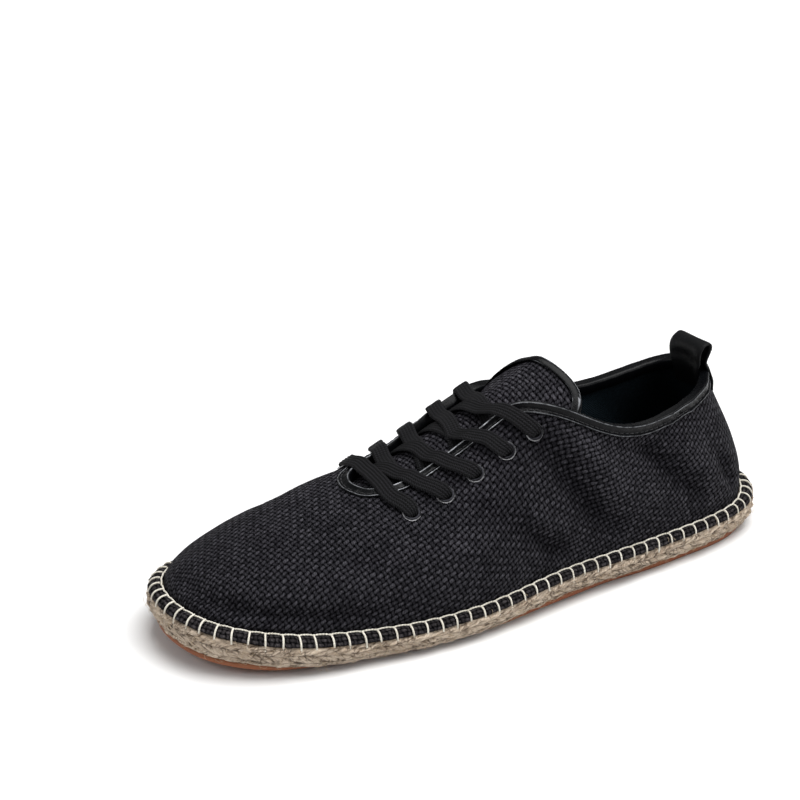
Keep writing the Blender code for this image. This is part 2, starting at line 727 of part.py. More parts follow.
def build_pull_loop(look, home):
    # A leather strip: down the outside of the heel, up into a loop, and down inside
    half = 0.5 * LOOP_LEATHER
    outer = GAP + BINDING_SKIN + GAP + half
    inner = -CLOTH_WALL - GAP - BINDING_SKIN - GAP - half
    across = np.linspace(-0.5, 0.5, 5) * LOOP_WIDTH
    rim_rows = np.linspace(-1.5, 1.5, 61)
    rim_across = upper_skin(rim_rows, 0.0, 0.0)[0][:, 1]
    rows = np.interp(across, rim_across, rim_rows)
    rim = upper_skin(rows, 0.0, 0.0)[0]
    lines = []
    for depth in (LOOP_LEG, 0.5 * LOOP_LEG, 0.0):
        lines.append(upper_skin(rows, depth, outer)[0])
    # Share of the loop's height over the rim, and share of its bulge to the back
    for height, out in ((0.22, 0.7), (0.45, 0.9), (0.70, 1.0), (0.90, 0.75), (1.0, 0.0)):
        lines.append(loop_line(rim, across, height, out))
    for height, out in ((0.90, -0.75), (0.70, -1.0), (0.45, -0.9), (0.22, -0.7)):
        lines.append(loop_line(rim, across, height, out))
    for depth in (0.0, 0.5 * LOOP_LEG, LOOP_LEG):
        lines.append(upper_skin(rows, depth, inner)[0])
    faces = ring_faces(len(lines), len(across), False)
    loop = add_object("pull_loop", np.vstack(lines), faces, look, home)
    wall = loop.modifiers.new("leather", "SOLIDIFY")
    wall.thickness = LOOP_LEATHER
    wall.offset = 0.0
    wall.use_even_offset = True
    loop.data.shade_smooth()
    return loop


def loop_line(rim, across, height, out):
    # One crossing line of the loop over the rim. It straightens towards its top.
    line = rim.copy()
    top_along = rim[:, 0].min() + LOOP_LEAN
    line[:, 0] = rim[:, 0] * (1.0 - height) + top_along * height + 0.5 * CLOTH_WALL - out * LOOP_BULGE
    line[:, 1] = across
    line[:, 2] = rim[:, 2] * (1.0 - height) + rim[:, 2].mean() * height + height * LOOP_HEIGHT
    return line


def natural_curve(points, shares):
    # Points at these shares of the way along a smooth curve through the given ones
    points = np.asarray(points)
    knots = np.concatenate([[0.0], np.cumsum(np.linalg.norm(np.diff(points, axis=0), axis=1))])
    step = np.diff(knots)
    size = len(points)
    system = np.eye(size)
    right = np.zeros(points.shape)
    for i in range(1, size - 1):
        system[i, i - 1:i + 2] = (step[i - 1], 2.0 * (step[i - 1] + step[i]), step[i])
        slope_after = (points[i + 1] - points[i]) / step[i]
        slope_before = (points[i] - points[i - 1]) / step[i - 1]
        right[i] = 6.0 * (slope_after - slope_before)
    bend = np.linalg.solve(system, right)
    place = shares * knots[-1]
    span = np.clip(np.searchsorted(knots, place, side="right") - 1, 0, size - 2)
    width = step[span][:, None]
    high = (place - knots[span])[:, None] / width
    low = 1.0 - high
    straight = low * points[span] + high * points[span + 1]
    curve = (low ** 3 - low) * bend[span] + (high ** 3 - high) * bend[span + 1]
    return straight + curve * width ** 2 / 6.0


def rim_row_at(along, side):
    # Row whose rim point lies at this along place on the throat's edge
    rows = np.linspace(7.5, TOE_ROW, 120)
    rim = upper_line(rows if side > 0 else ROW_COUNT - rows, 1.0)[:, 0]
    found = np.interp(along, rim, rows)
    return found if side > 0 else ROW_COUNT - found


def lace_end(number, side, run):
    # Route from inside an eyelet, over the facing, to the throat's edge, in along, across, height
    row, depth = EYELETS[number - 1]
    row = row if side > 0 else ROW_COUNT - row
    hole, normal, upward = upper_skin(row, depth, 0.0)
    edge_row = rim_row_at(hole[0, 0] + run, side)
    over = GAP + BINDING_SKIN + GAP + 0.5 * LACE_THICKNESS + LACE_PLAY
    mouth = EYELET_FLANGE + GAP + 0.3 * LACE_THICKNESS
    points = [(hole - normal * 0.6 * CLOTH_WALL)[0], (hole + normal * mouth)[0]]
    points.append((hole + normal * (over + LACE_PLAY) + upward * EYELET_BORE)[0])
    for share in (0.35, 0.65, 0.90):
        middle = row + (edge_row - row) * share
        lift = over + share * LACE_RIM_LIFT
        points.append(upper_skin(middle, depth * (1.0 - share), lift)[0][0])
    edge, edge_normal, edge_upward = upper_skin(edge_row, 0.0, over + LACE_RIM_LIFT)
    points.append(edge[0])
    return points


def eyelet_heading():
    # Direction of the rows of eyelets towards the toe, which the laces' width follows
    ends = [upper_skin(EYELETS[i][0], EYELETS[i][1], 0.0)[0][0] for i in (0, -1)]
    heading = ends[0] - ends[1]
    heading[1] = 0.0
    return heading / np.linalg.norm(heading)


def over_tongue(along, across, lift):
    height = tongue_height(np.array([along]), np.array([across]))[0]
    return np.array([along, across, height + 2.0 * GAP + LACE_PLAY + 0.5 * LACE_THICKNESS + lift])


def lace_strip(name, route, ends, look, home):
    # A flat strip along the route, its width along the heading, narrow in its eyelets
    if ends == 1:
        shares = np.linspace(0.0, 1.0, LACE_SECTIONS) ** LACE_CROWDING
    else:
        half = 0.5 * np.linspace(0.0, 1.0, LACE_BAR_SECTIONS // 2) ** LACE_CROWDING
        shares = np.concatenate([half, 1.0 - half[-2::-1]])
    line = natural_curve(route, shares)
    tangent = np.gradient(line, axis=0)
    tangent = tangent / np.linalg.norm(tangent, axis=1)[:, None]
    heading = eyelet_heading()
    across = heading - tangent * (tangent @ heading)[:, None]
    across = across / np.linalg.norm(across, axis=1)[:, None]
    normal = np.cross(tangent, across)
    length = np.concatenate([[0.0], np.cumsum(np.linalg.norm(np.diff(line, axis=0), axis=1))])
    reach = length if ends == 1 else np.minimum(length, length[-1] - length)
    width = np.interp(reach, (0.0, 0.0026, 0.0075), (LACE_TIP_WIDTH, LACE_TIP_WIDTH, LACE_WIDTH))
    shape = ((0.5, 0.0), (0.38, 0.5), (-0.38, 0.5), (-0.5, 0.0), (-0.38, -0.5), (0.38, -0.5))
    sections = []
    for i in range(len(line)):
        section = [line[i] + across[i] * width[i] * x + normal[i] * LACE_THICKNESS * z for x, z in shape]
        sections.append(np.array(section))
    return swept_strip(name, sections, look, home)


def build_lace(look, home, cutters):
    # The lowest bar runs straight over the throat from eyelet to eyelet
    outer = lace_end(1, 1.0, LACE_BAR_RUN)
    inner = lace_end(1, -1.0, LACE_BAR_RUN)
    middle = 0.5 * (outer[-1] + inner[-1])
    middle += (LACE_BAR_BOW, 0.0, 0.5 * LACE_THICKNESS)
    lace_strip("lace_bar", outer + [middle] + inner[::-1], 2, look, home)
    for number in range(2, len(EYELETS) + 1):
        strips = []
        for side, lift, place in ((1.0, 0.0, home), (-1.0, LACE_CROSS_LIFT, cutters)):
            end = lace_end(number, side, LACE_RUN)
            along = end[-1][0]
            end.append(over_tongue(along + 0.0030, side * 0.0065, lift))
            end.append(over_tongue(along + 0.0055, 0.0, lift))
            end.append(over_tongue(along + 0.0078, -side * 0.0065, 0.4 * lift))
            name = f"lace_cross_{number}" if side > 0 else f"lace_cross_{number}_over"
            strips.append(lace_strip(name, end, 1, look, place))
        strips[1].hide_render = True
        strips[1].display_type = "WIRE"
        join = strips[0].modifiers.new("crossing", "BOOLEAN")
        join.operation = "UNION"
        join.solver = "EXACT"
        join.object = strips[1]


def main():
    for old in list(bpy.data.objects):
        bpy.data.objects.remove(old)
    home = bpy.data.collections.new("espadrille")
    cutters = bpy.data.collections.new("cutters")
    bpy.context.scene.collection.children.link(home)
    bpy.context.scene.collection.children.link(cutters)
    cloth = material("woven_cloth", CLOTH_COLOUR, 0.9)
    leather = material("black_leather", LEATHER_COLOUR, 0.35)
    lining = material("black_lining", LINING_COLOUR, 0.9)
    lace = material("flat_lace", LACE_COLOUR, 0.8)
    jute = material("jute_braid", JUTE_COLOUR, 0.9)
    rubber = material("crepe_rubber", RUBBER_COLOUR, 0.6)
    metal = material("eyelet_metal", EYELET_COLOUR, 0.4, 1.0)
    build_outsole(rubber, home)
    build_midsole(jute, home)
    build_welt(cloth, home)
    build_insole(lining, home)
    build_upper(cloth, home, cutters)
    build_collar_binding(leather, home)
    build_tongue(cloth, home)
    build_tongue_binding(leather, home)
    build_pull_loop(leather, home)
    build_eyelets(metal, home)
    build_lace(lace, home, cutters)


main()
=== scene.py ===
# Lace-up espadrille for the left foot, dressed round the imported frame.
# Metres, +Z up, toe towards -Y, outer side of the foot towards +X.
import math

import bmesh
import bpy
import numpy as np
from mathutils import Matrix, Vector
from mathutils.bvhtree import BVHTree


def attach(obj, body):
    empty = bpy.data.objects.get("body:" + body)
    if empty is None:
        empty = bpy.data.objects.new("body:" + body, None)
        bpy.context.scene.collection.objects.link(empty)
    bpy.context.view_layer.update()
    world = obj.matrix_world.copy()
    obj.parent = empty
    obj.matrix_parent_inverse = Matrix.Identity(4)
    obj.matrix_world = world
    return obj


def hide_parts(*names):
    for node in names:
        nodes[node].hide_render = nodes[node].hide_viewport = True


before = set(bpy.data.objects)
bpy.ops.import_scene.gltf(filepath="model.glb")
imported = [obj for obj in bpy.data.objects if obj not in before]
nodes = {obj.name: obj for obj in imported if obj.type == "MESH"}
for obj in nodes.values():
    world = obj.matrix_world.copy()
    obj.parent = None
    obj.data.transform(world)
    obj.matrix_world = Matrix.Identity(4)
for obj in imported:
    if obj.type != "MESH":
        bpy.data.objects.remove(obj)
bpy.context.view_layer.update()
print("frame loaded:", len(nodes), "nodes")

# the shoe's lines
last = {
    "soleLength": 0.283,
    "ballWidth": 0.103,
    "collarHeight": 0.085,
    "heelStack": 0.0152,
    "ballStack": 0.0131,
    "toeStack": 0.0172,
    "toeSpring": 0.0063,
    "archRise": 0.0012,
    "weltWidth": 0.0058,
    "weltDepth": 0.0032,
    "weltWall": 0.0013,
    # share of the welt's width at the heel and toe, what the sides lose of it, and where they do, along the sole
    "weltFull": 0.96,
    "sideTuck": 0.40,
    "tuckStart": (0.01, 0.10),
    "tuckEnd": (0.58, 0.90),
    "clothWall": 0.0018,
    "gap": 0.0003,
    "toeTipAcross": -0.029,
    # share of the length, outer and inner half widths as shares of the ball width
    "outline": (
        (0.012, 0.118, 0.151), (0.050, 0.246, 0.271), (0.120, 0.329, 0.325), (0.220, 0.371, 0.325),
        (0.330, 0.403, 0.294), (0.440, 0.442, 0.289), (0.550, 0.490, 0.344), (0.650, 0.502, 0.429),
        (0.730, 0.481, 0.484), (0.810, 0.452, 0.495), (0.880, 0.405, 0.457), (0.940, 0.318, 0.371),
        (0.980, 0.200, 0.245),
    ),
    # foot, rim along, rim across, rim height, belly out, belly rise, shoulder back, shoulder drop
    "outerRows": (
        (0.000, 0.097, 0.000, 0.853, 0.006, 0.235, 0.082, 0.212),
        (0.035, 0.110, 0.117, 0.841, 0.018, 0.235, 0.071, 0.212),
        (0.105, 0.145, 0.199, 0.812, 0.035, 0.235, 0.035, 0.212),
        (0.185, 0.201, 0.252, 0.784, 0.041, 0.235, 0.024, 0.212),
        (0.265, 0.265, 0.277, 0.772, 0.041, 0.235, 0.035, 0.212),
        (0.340, 0.329, 0.279, 0.827, 0.041, 0.259, 0.047, 0.224),
        (0.410, 0.389, 0.255, 0.932, 0.035, 0.294, 0.071, 0.212),
        (0.470, 0.435, 0.221, 0.991, 0.035, 0.318, 0.094, 0.176),
        (0.520, 0.468, 0.182, 0.991, 0.035, 0.318, 0.118, 0.153),
        (0.570, 0.496, 0.155, 0.925, 0.041, 0.306, 0.129, 0.129),
        (0.630, 0.544, 0.134, 0.819, 0.041, 0.259, 0.153, 0.118),
        (0.690, 0.595, 0.126, 0.734, 0.041, 0.224, 0.188, 0.106),
        (0.755, 0.643, 0.122, 0.678, 0.035, 0.200, 0.247, 0.094),
        (0.835, 0.677, 0.087, 0.654, 0.029, 0.176, 0.329, 0.082),
        (0.925, 0.690, 0.044, 0.649, 0.009, 0.153, 0.424, 0.094),
        (1.000, 0.694, 0.000, 0.649, -0.006, 0.135, 0.447, 0.094),
    ),
    "innerRows": (
        (0.925, 0.690, 0.044, 0.649, -0.006, 0.141, 0.424, 0.094),
        (0.835, 0.677, 0.087, 0.654, 0.009, 0.165, 0.329, 0.082),
        (0.755, 0.643, 0.122, 0.678, 0.024, 0.200, 0.235, 0.094),
        (0.690, 0.595, 0.126, 0.734, 0.029, 0.224, 0.176, 0.106),
        (0.630, 0.544, 0.134, 0.819, 0.024, 0.259, 0.141, 0.118),
        (0.570, 0.496, 0.144, 0.885, 0.012, 0.294, 0.106, 0.129),
        (0.520, 0.468, 0.155, 0.911, 0.006, 0.306, 0.082, 0.141),
        (0.470, 0.435, 0.175, 0.908, 0.000, 0.306, 0.059, 0.153),
        (0.410, 0.389, 0.194, 0.868, 0.000, 0.282, 0.035, 0.176),
        (0.340, 0.329, 0.206, 0.799, 0.012, 0.259, 0.024, 0.200),
        (0.265, 0.265, 0.204, 0.758, 0.024, 0.235, 0.012, 0.212),
        (0.185, 0.201, 0.194, 0.772, 0.035, 0.235, 0.012, 0.212),
        (0.105, 0.145, 0.173, 0.805, 0.035, 0.235, 0.035, 0.212),
        (0.035, 0.110, 0.112, 0.839, 0.018, 0.235, 0.071, 0.212),
    ),
    # row and depth below the rim of each eyelet, from the toe end
    "eyelets": ((11.42, 0.0188), (10.42, 0.0192), (9.56, 0.0187), (8.42, 0.0183), (7.20, 0.0125)),
}
rowCount = len(last["outerRows"]) + len(last["innerRows"])
toeRow = len(last["outerRows"]) - 1


def smooth(value, low, high):
    share = np.clip((value - low) / (high - low), 0.0, 1.0)
    return share * share * (3.0 - 2.0 * share)


def unit(vectors):
    return vectors / np.linalg.norm(vectors, axis=-1, keepdims=True)


def runAlong(points):
    # the distance run so far at each point of a line, or of a row of lines side by side
    steps = np.linalg.norm(np.diff(points, axis=0), axis=-1)
    return np.concatenate([np.zeros((1,) + steps.shape[1:]), np.cumsum(steps, axis=0)])


def closeLoop(points):
    return np.concatenate([points, points[:1]])


def closedSpline(knots, values, wanted):
    # smooth periodic cubic through the values, the last knot being the first one again
    count = len(values)
    step = np.diff(knots)
    system = np.zeros((count, count))
    right = np.zeros(values.shape)
    for i in range(count):
        after = (i + 1) % count
        system[i, i - 1] += step[i - 1]
        system[i, i] += 2.0 * (step[i - 1] + step[i])
        system[i, after] += step[i]
        right[i] = 6.0 * ((values[after] - values[i]) / step[i] - (values[i] - values[i - 1]) / step[i - 1])
    bend = np.linalg.solve(system, right)
    place = np.mod(np.asarray(wanted, dtype=float) - knots[0], knots[-1] - knots[0]) + knots[0]
    span = np.clip(np.searchsorted(knots, place, side="right") - 1, 0, count - 1)
    width = step[span][:, None]
    ahead = (place - knots[span])[:, None] / width
    behind = 1.0 - ahead
    nxt = (span + 1) % count
    curve = (behind ** 3 - behind) * bend[span] + (ahead ** 3 - ahead) * bend[nxt]
    return behind * values[span] + ahead * values[nxt] + curve * width ** 2 / 6.0


def soleOutline():
    length, ball = last["soleLength"], last["ballWidth"]
    points = [(0.0, 0.0)] + [(a * length, o * ball) for a, o, i in last["outline"]]
    points.append((length, last["toeTipAcross"] * ball))
    points += [(a * length, -i * ball) for a, o, i in reversed(last["outline"])]
    return np.array(points)


outline = soleOutline()
outlineKnots = runAlong(closeLoop(outline))
perimeter = outlineKnots[-1]
toePlace = outlineKnots[len(last["outline"]) + 1]
finePlaces = np.linspace(0.0, perimeter, 2400, endpoint=False)
fineOutline = closedSpline(outlineKnots, outline, finePlaces)
centre = 0.5 * (fineOutline.max(axis=0) + fineOutline.min(axis=0))


def soleEdge(place, inset):
    # point on the sole's outline moved inwards, and the outward direction there
    here, ahead, behind = (closedSpline(outlineKnots, outline, place + d) for d in (0.0, 0.001, -0.001))
    heading = unit(ahead - behind)
    outward = np.stack([-heading[:, 1], heading[:, 0]], axis=1)
    return here - outward * np.reshape(inset, (-1, 1)), outward


def weltShare(place):
    # the cloth welt is full at the heel and the toe and pulled narrower along the sides
    along = soleEdge(place, 0.0)[0][:, 0] / last["soleLength"]
    side = smooth(along, *last["tuckStart"]) * (1.0 - smooth(along, *last["tuckEnd"]))
    return last["weltFull"] - last["sideTuck"] * side


def footInset(place):
    return last["weltWidth"] * weltShare(place) + 2.0 * last["gap"]


def groundLine(along):
    share = along / last["soleLength"]
    toe = last["toeSpring"] * np.clip((share - 0.70) / 0.30, 0.0, None) ** 2
    arch = last["archRise"] * np.sin(np.pi * np.clip((share - 0.27) / 0.31, 0.0, 1.0)) ** 2
    return toe + arch


def soleTop(along):
    share = np.clip(along / last["soleLength"], 0.0, 1.0)
    heel, ball, toe = last["heelStack"], last["ballStack"], last["toeStack"]
    stack = heel + (ball - heel) * np.clip(share / 0.68, 0.0, 1.0)
    stack = stack + (toe - ball) * np.clip((share - 0.68) / 0.32, 0.0, 1.0) ** 1.4
    return groundLine(along) + stack


def toWorld(points):
    # from along, across, height to X, Y, Z
    points = np.asarray(points, dtype=float)
    return np.stack([points[..., 1] - centre[1], centre[0] - points[..., 0], points[..., 2]], axis=-1)


def turnToWorld(headings):
    return np.stack([headings[..., 1], -headings[..., 0], headings[..., 2]], axis=-1)


def upperRows():
    length, ball, collar = last["soleLength"], last["ballWidth"], last["collarHeight"]
    places, sizes = [], []
    for index, row in enumerate(last["outerRows"] + last["innerRows"]):
        side = 1.0 if index <= toeRow else -1.0
        half = (finePlaces < toePlace) == (side > 0)
        distance = np.abs(fineOutline[:, 0] - row[0] * length) + np.where(half, 0.0, 1.0)
        places.append({0: 0.0, toeRow: toePlace}.get(index, finePlaces[distance.argmin()]))
        sizes.append([row[1] * length, side * row[2] * ball] + [value * collar for value in row[3:]])
    return np.array(places), np.array(sizes)


rowPlaces, rowSizes = upperRows()
rowKnots = np.arange(rowCount + 1.0)


def rowPlace(row):
    even = np.arange(rowCount) * perimeter / rowCount
    return closedSpline(rowKnots, (rowPlaces - even)[:, None], row)[:, 0] + row * perimeter / rowCount


def upperLine(row, share):
    # the upper's outer face on the lines at these rows, at shares of the way from the sole to the rim
    row = np.atleast_1d(np.asarray(row, dtype=float))
    size = closedSpline(rowKnots, rowSizes, row)
    place = rowPlace(row)
    foot, outward = soleEdge(place, footInset(place))
    low = np.column_stack([foot, soleTop(foot[:, 0]) + 2.0 * last["gap"]])
    rim = size[:, :3]
    inward = rim - low
    inward[:, 2] = 0.0
    inward = unit(inward)
    belly = low + np.column_stack([outward * size[:, 3:4], size[:, 4]])
    shoulder = rim - inward * size[:, 5:6]
    shoulder[:, 2] -= size[:, 6]
    share = np.asarray(share, dtype=float)[..., None]
    rest = 1.0 - share
    lower = rest ** 3 * low + 3.0 * rest ** 2 * share * belly
    return lower + 3.0 * rest * share ** 2 * shoulder + share ** 3 * rim


def shareAtDepth(row, depth):
    shares = np.linspace(0.0, 1.0, 121)
    line = upperLine(row, shares[:, None])
    climbed = runAlong(line).T
    depth = np.broadcast_to(depth, len(climbed))
    return np.array([np.interp(climb[-1] - down, climb, shares) for climb, down in zip(climbed, depth)])


def upperSkin(row, depth, out):
    # point at a distance below the rim lifted off the upper, its normal and its upward direction
    row = np.atleast_1d(np.asarray(row, dtype=float))
    share = shareAtDepth(row, depth)
    point = upperLine(row, share)
    around = upperLine(row + 0.02, share) - upperLine(row - 0.02, share)
    upward = upperLine(row, share) - upperLine(row, share - 0.02)
    normal = unit(np.cross(upward, around))
    return point + normal * np.reshape(out, (-1, 1)), normal, unit(upward)


def waves(place, length, count, seed):
    # soft random ripple round a closed path, about -1 to 1
    draw = np.random.default_rng(seed)
    total = np.zeros(np.shape(place))
    for number in range(1, count + 1):
        turn = draw.uniform(0.0, math.tau)
        total = total + np.sin(math.tau * draw.integers(number, 3 * number + 2) * place / length + turn)
    return total / math.sqrt(count)


# mesh helpers
def newPiece(name, data):
    piece = bpy.data.objects.new(name, data)
    bpy.context.scene.collection.objects.link(piece)
    return piece


def pointsOf(piece):
    points = np.zeros(len(piece.data.vertices) * 3)
    piece.data.vertices.foreach_get("co", points)
    return points.reshape(-1, 3)


def movePoints(piece, points):
    piece.data.vertices.foreach_set("co", points.reshape(-1))
    piece.data.update()


def searchTree(mesh):
    return BVHTree.FromPolygons([v.co[:] for v in mesh.vertices], [p.vertices[:] for p in mesh.polygons])


def crossedMap(around, across):
    # a thread map from two runs in metres: one round the shoe, one over the piece's own closed section
    return closeLoop(np.stack(np.broadcast_arrays(around[None, :], across[:, None]), axis=2))


def signedVolume(points, faces):
    a, b, c = (points[faces[:, k]] for k in (0, 1, 2))
    total = (a * np.cross(b, c)).sum()
    if faces.shape[1] == 4:
        d = points[faces[:, 3]]
        total += (a * np.cross(c, d)).sum()
    return total


def ladder(size, start):
    # closes a ring that runs heel, outer side, toe, inner side with rungs across the sole
    faces = [(start, start + 1, start + size - 1, start + size - 1)]
    for i in range(1, size // 2 - 1):
        faces.append((start + i, start + i + 1, start + size - i - 1, start + size - i))
    half = start + size // 2
    faces.append((half - 1, half, half + 1, half + 1))
    return faces


def gridMesh(name, grid, materials, around=True, across=False, uv=None, slots=None, caps=False, values=None):
    # quads over a grid of points. The second index closes on itself (around), the first one too (across).
    rows, cols = grid.shape[:2]
    rowFaces, colFaces = (rows if across else rows - 1), (cols if around else cols - 1)
    i, j = (a.ravel() for a in np.meshgrid(np.arange(rowFaces), np.arange(colFaces), indexing="ij"))
    corners = ((i, j), (i, j + 1), (i + 1, j + 1), (i + 1, j))
    faces = np.stack([(a % rows) * cols + b % cols for a, b in corners], axis=1)
    points = grid.reshape(-1, 3)
    uvs = np.zeros((len(faces), 4, 2))
    if uv is not None:
        uvs = np.stack([uv[a % uv.shape[0], b % uv.shape[1]] for a, b in corners], axis=1)
    slot = np.zeros(len(faces), dtype=int) if slots is None else np.asarray(slots)[i]
    if caps:
        low, high = ladder(cols, 0), ladder(cols, (rows - 1) * cols)
        lids = np.array([face[::-1] for face in low] + high)
        flat = points[lids][:, :, :2]
        faces = np.vstack([faces, lids])
        uvs = np.vstack([uvs, flat])
        slot = np.concatenate([slot, np.full(len(lids), slot[0])])
    if signedVolume(points, faces) < 0.0:
        faces, uvs = faces[:, ::-1], uvs[:, ::-1]
    mesh = bpy.data.meshes.new(name)
    polygons = [tuple(dict.fromkeys(face)) for face in faces.tolist()]
    mesh.from_pydata(points.tolist(), [], polygons)
    loops = np.array([uv[face.index(v)] for uv, face in zip(uvs, faces.tolist()) for v in dict.fromkeys(face)])
    layer = mesh.uv_layers.new(name="Cloth")
    layer.uv.foreach_set("vector", loops.reshape(-1).astype("float32"))
    for look in materials:
        mesh.materials.append(look)
    mesh.polygons.foreach_set("material_index", slot.astype("int32"))
    for key, data in (values or {}).items():
        marks = mesh.attributes.new(key, "FLOAT", "POINT")
        marks.data.foreach_set("value", data.reshape(-1).astype("float32"))
    mesh.shade_smooth()
    mesh.update()
    return newPiece(name, mesh)


def gridNormals(grid):
    # unit normals of a grid of points that closes on itself, not yet turned in or out
    normal = np.cross(np.gradient(grid, axis=0), np.roll(grid, -1, axis=1) - np.roll(grid, 1, axis=1))
    return normal / np.maximum(np.linalg.norm(normal, axis=2, keepdims=True), 1e-12)


def fromNode(name, node, level, materials):
    # a smooth copy of a CAD node: its loose triangles are merged, paired to quads and subdivided
    shape = bmesh.new()
    shape.from_mesh(nodes[node].data)
    bmesh.ops.remove_doubles(shape, verts=shape.verts, dist=0.00002)
    bmesh.ops.join_triangles(
        shape, faces=shape.faces,
        angle_face_threshold=math.radians(50.0), angle_shape_threshold=math.radians(60.0),
    )
    bmesh.ops.recalc_face_normals(shape, faces=shape.faces)
    mesh = bpy.data.meshes.new(name)
    shape.to_mesh(mesh)
    shape.free()
    mesh.materials.clear()
    for look in materials:
        mesh.materials.append(look)
    mesh.shade_smooth()
    piece = newPiece(name, mesh)
    rounded = piece.modifiers.new("rounded", "SUBSURF")
    rounded.levels = level
    rounded.render_levels = level
    return bakePiece(piece)


def bakePiece(piece):
    # the evaluated result becomes a plain mesh and the modifiers go
    graph = bpy.context.evaluated_depsgraph_get()
    shown = piece.evaluated_get(graph)
    mesh = bpy.data.meshes.new_from_object(shown, preserve_all_data_layers=True, depsgraph=graph)
    piece.modifiers.clear()
    mesh.name = piece.name
    piece.data = mesh
    return piece


def finishPiece(piece, slotName, *replaced):
    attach(piece, "root")
    if replaced:
        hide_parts(*replaced)


# node helpers
def put(tree, kind, inputs=None, **settings):
    # adds one node, with its settings, and its inputs as values or as sockets to join
    node = tree.nodes.new(kind)
    for key, value in settings.items():
        setattr(node, key, value)
    for key, value in (inputs or {}).items():
        if isinstance(value, bpy.types.NodeSocket):
            tree.links.new(value, node.inputs[key])
        else:
            node.inputs[key].default_value = value
    return node


def calc(tree, operation, *values, clamp=False):
    inputs = dict(enumerate(values))
    return put(tree, "ShaderNodeMath", inputs, operation=operation, use_clamp=clamp).outputs[0]


def times(tree, first, second, clamp=False):
    return calc(tree, "MULTIPLY", first, second, clamp=clamp)


def vector(tree, x, y, z):
    return put(tree, "ShaderNodeCombineXYZ", {0: x, 1: y, 2: z}).outputs[0]


def marked(tree, name):
    return put(tree, "ShaderNodeAttribute", attribute_name=name).outputs["Fac"]


def blendColour(tree, share, low, high):
    return put(tree, "ShaderNodeMix", {0: share, 6: low, 7: high}, data_type="RGBA").outputs[2]


def remap(tree, value, low, high, toLow=0.0, toHigh=1.0):
    inputs = {0: value, 1: low, 2: high, 3: toLow, 4: toHigh}
    return put(tree, "ShaderNodeMapRange", inputs).outputs[0]


def newMaterial(name, roughness, specular=0.5, **sockets):
    look = bpy.data.materials.new(name)
    look.use_nodes = True
    tree = look.node_tree
    shader = tree.nodes["Principled BSDF"]
    shader.inputs["Roughness"].default_value = roughness
    shader.inputs["Specular IOR Level"].default_value = specular
    for key, value in sockets.items():
        shader.inputs[key].default_value = value
    return look, tree, shader


def bumpInto(tree, shader, height, distance, strength=1.0):
    bump = put(tree, "ShaderNodeBump", {"Height": height, "Distance": distance, "Strength": strength})
    tree.links.new(bump.outputs[0], shader.inputs["Normal"])


def stretched(tree, place, scale):
    return put(tree, "ShaderNodeMapping", {"Vector": place, "Scale": scale}).outputs[0]


def objectPoint(tree, scale=(1.0, 1.0, 1.0)):
    return stretched(tree, put(tree, "ShaderNodeTexCoord").outputs["Object"], scale)


def clothPoint(tree):
    # the piece's own thread map, in metres
    return put(tree, "ShaderNodeUVMap", uv_map="Cloth").outputs[0]


def noise(tree, vector, scale, detail=2.0, rough=0.5):
    inputs = {"Vector": vector, "Scale": scale, "Detail": detail, "Roughness": rough}
    return put(tree, "ShaderNodeTexNoise", inputs).outputs["Fac"]


def cracks(tree, place, scale):
    # distance to the edges of random cells
    inputs = {"Vector": place, "Scale": scale}
    return put(tree, "ShaderNodeTexVoronoi", inputs, feature="DISTANCE_TO_EDGE").outputs[0]


# materials
weave = {
    "weftPitch": 0.00205,
    "warpPitch": 0.00215,
    "wander": 0.00070,
    "gapShadeColour": (0.0014, 0.0014, 0.0019, 1.0),
    "yarnColour": (0.0185, 0.0176, 0.0225, 1.0),
    "tipHighlightColour": (0.0620, 0.0595, 0.0700, 1.0),
    "relief": 0.00110,
}


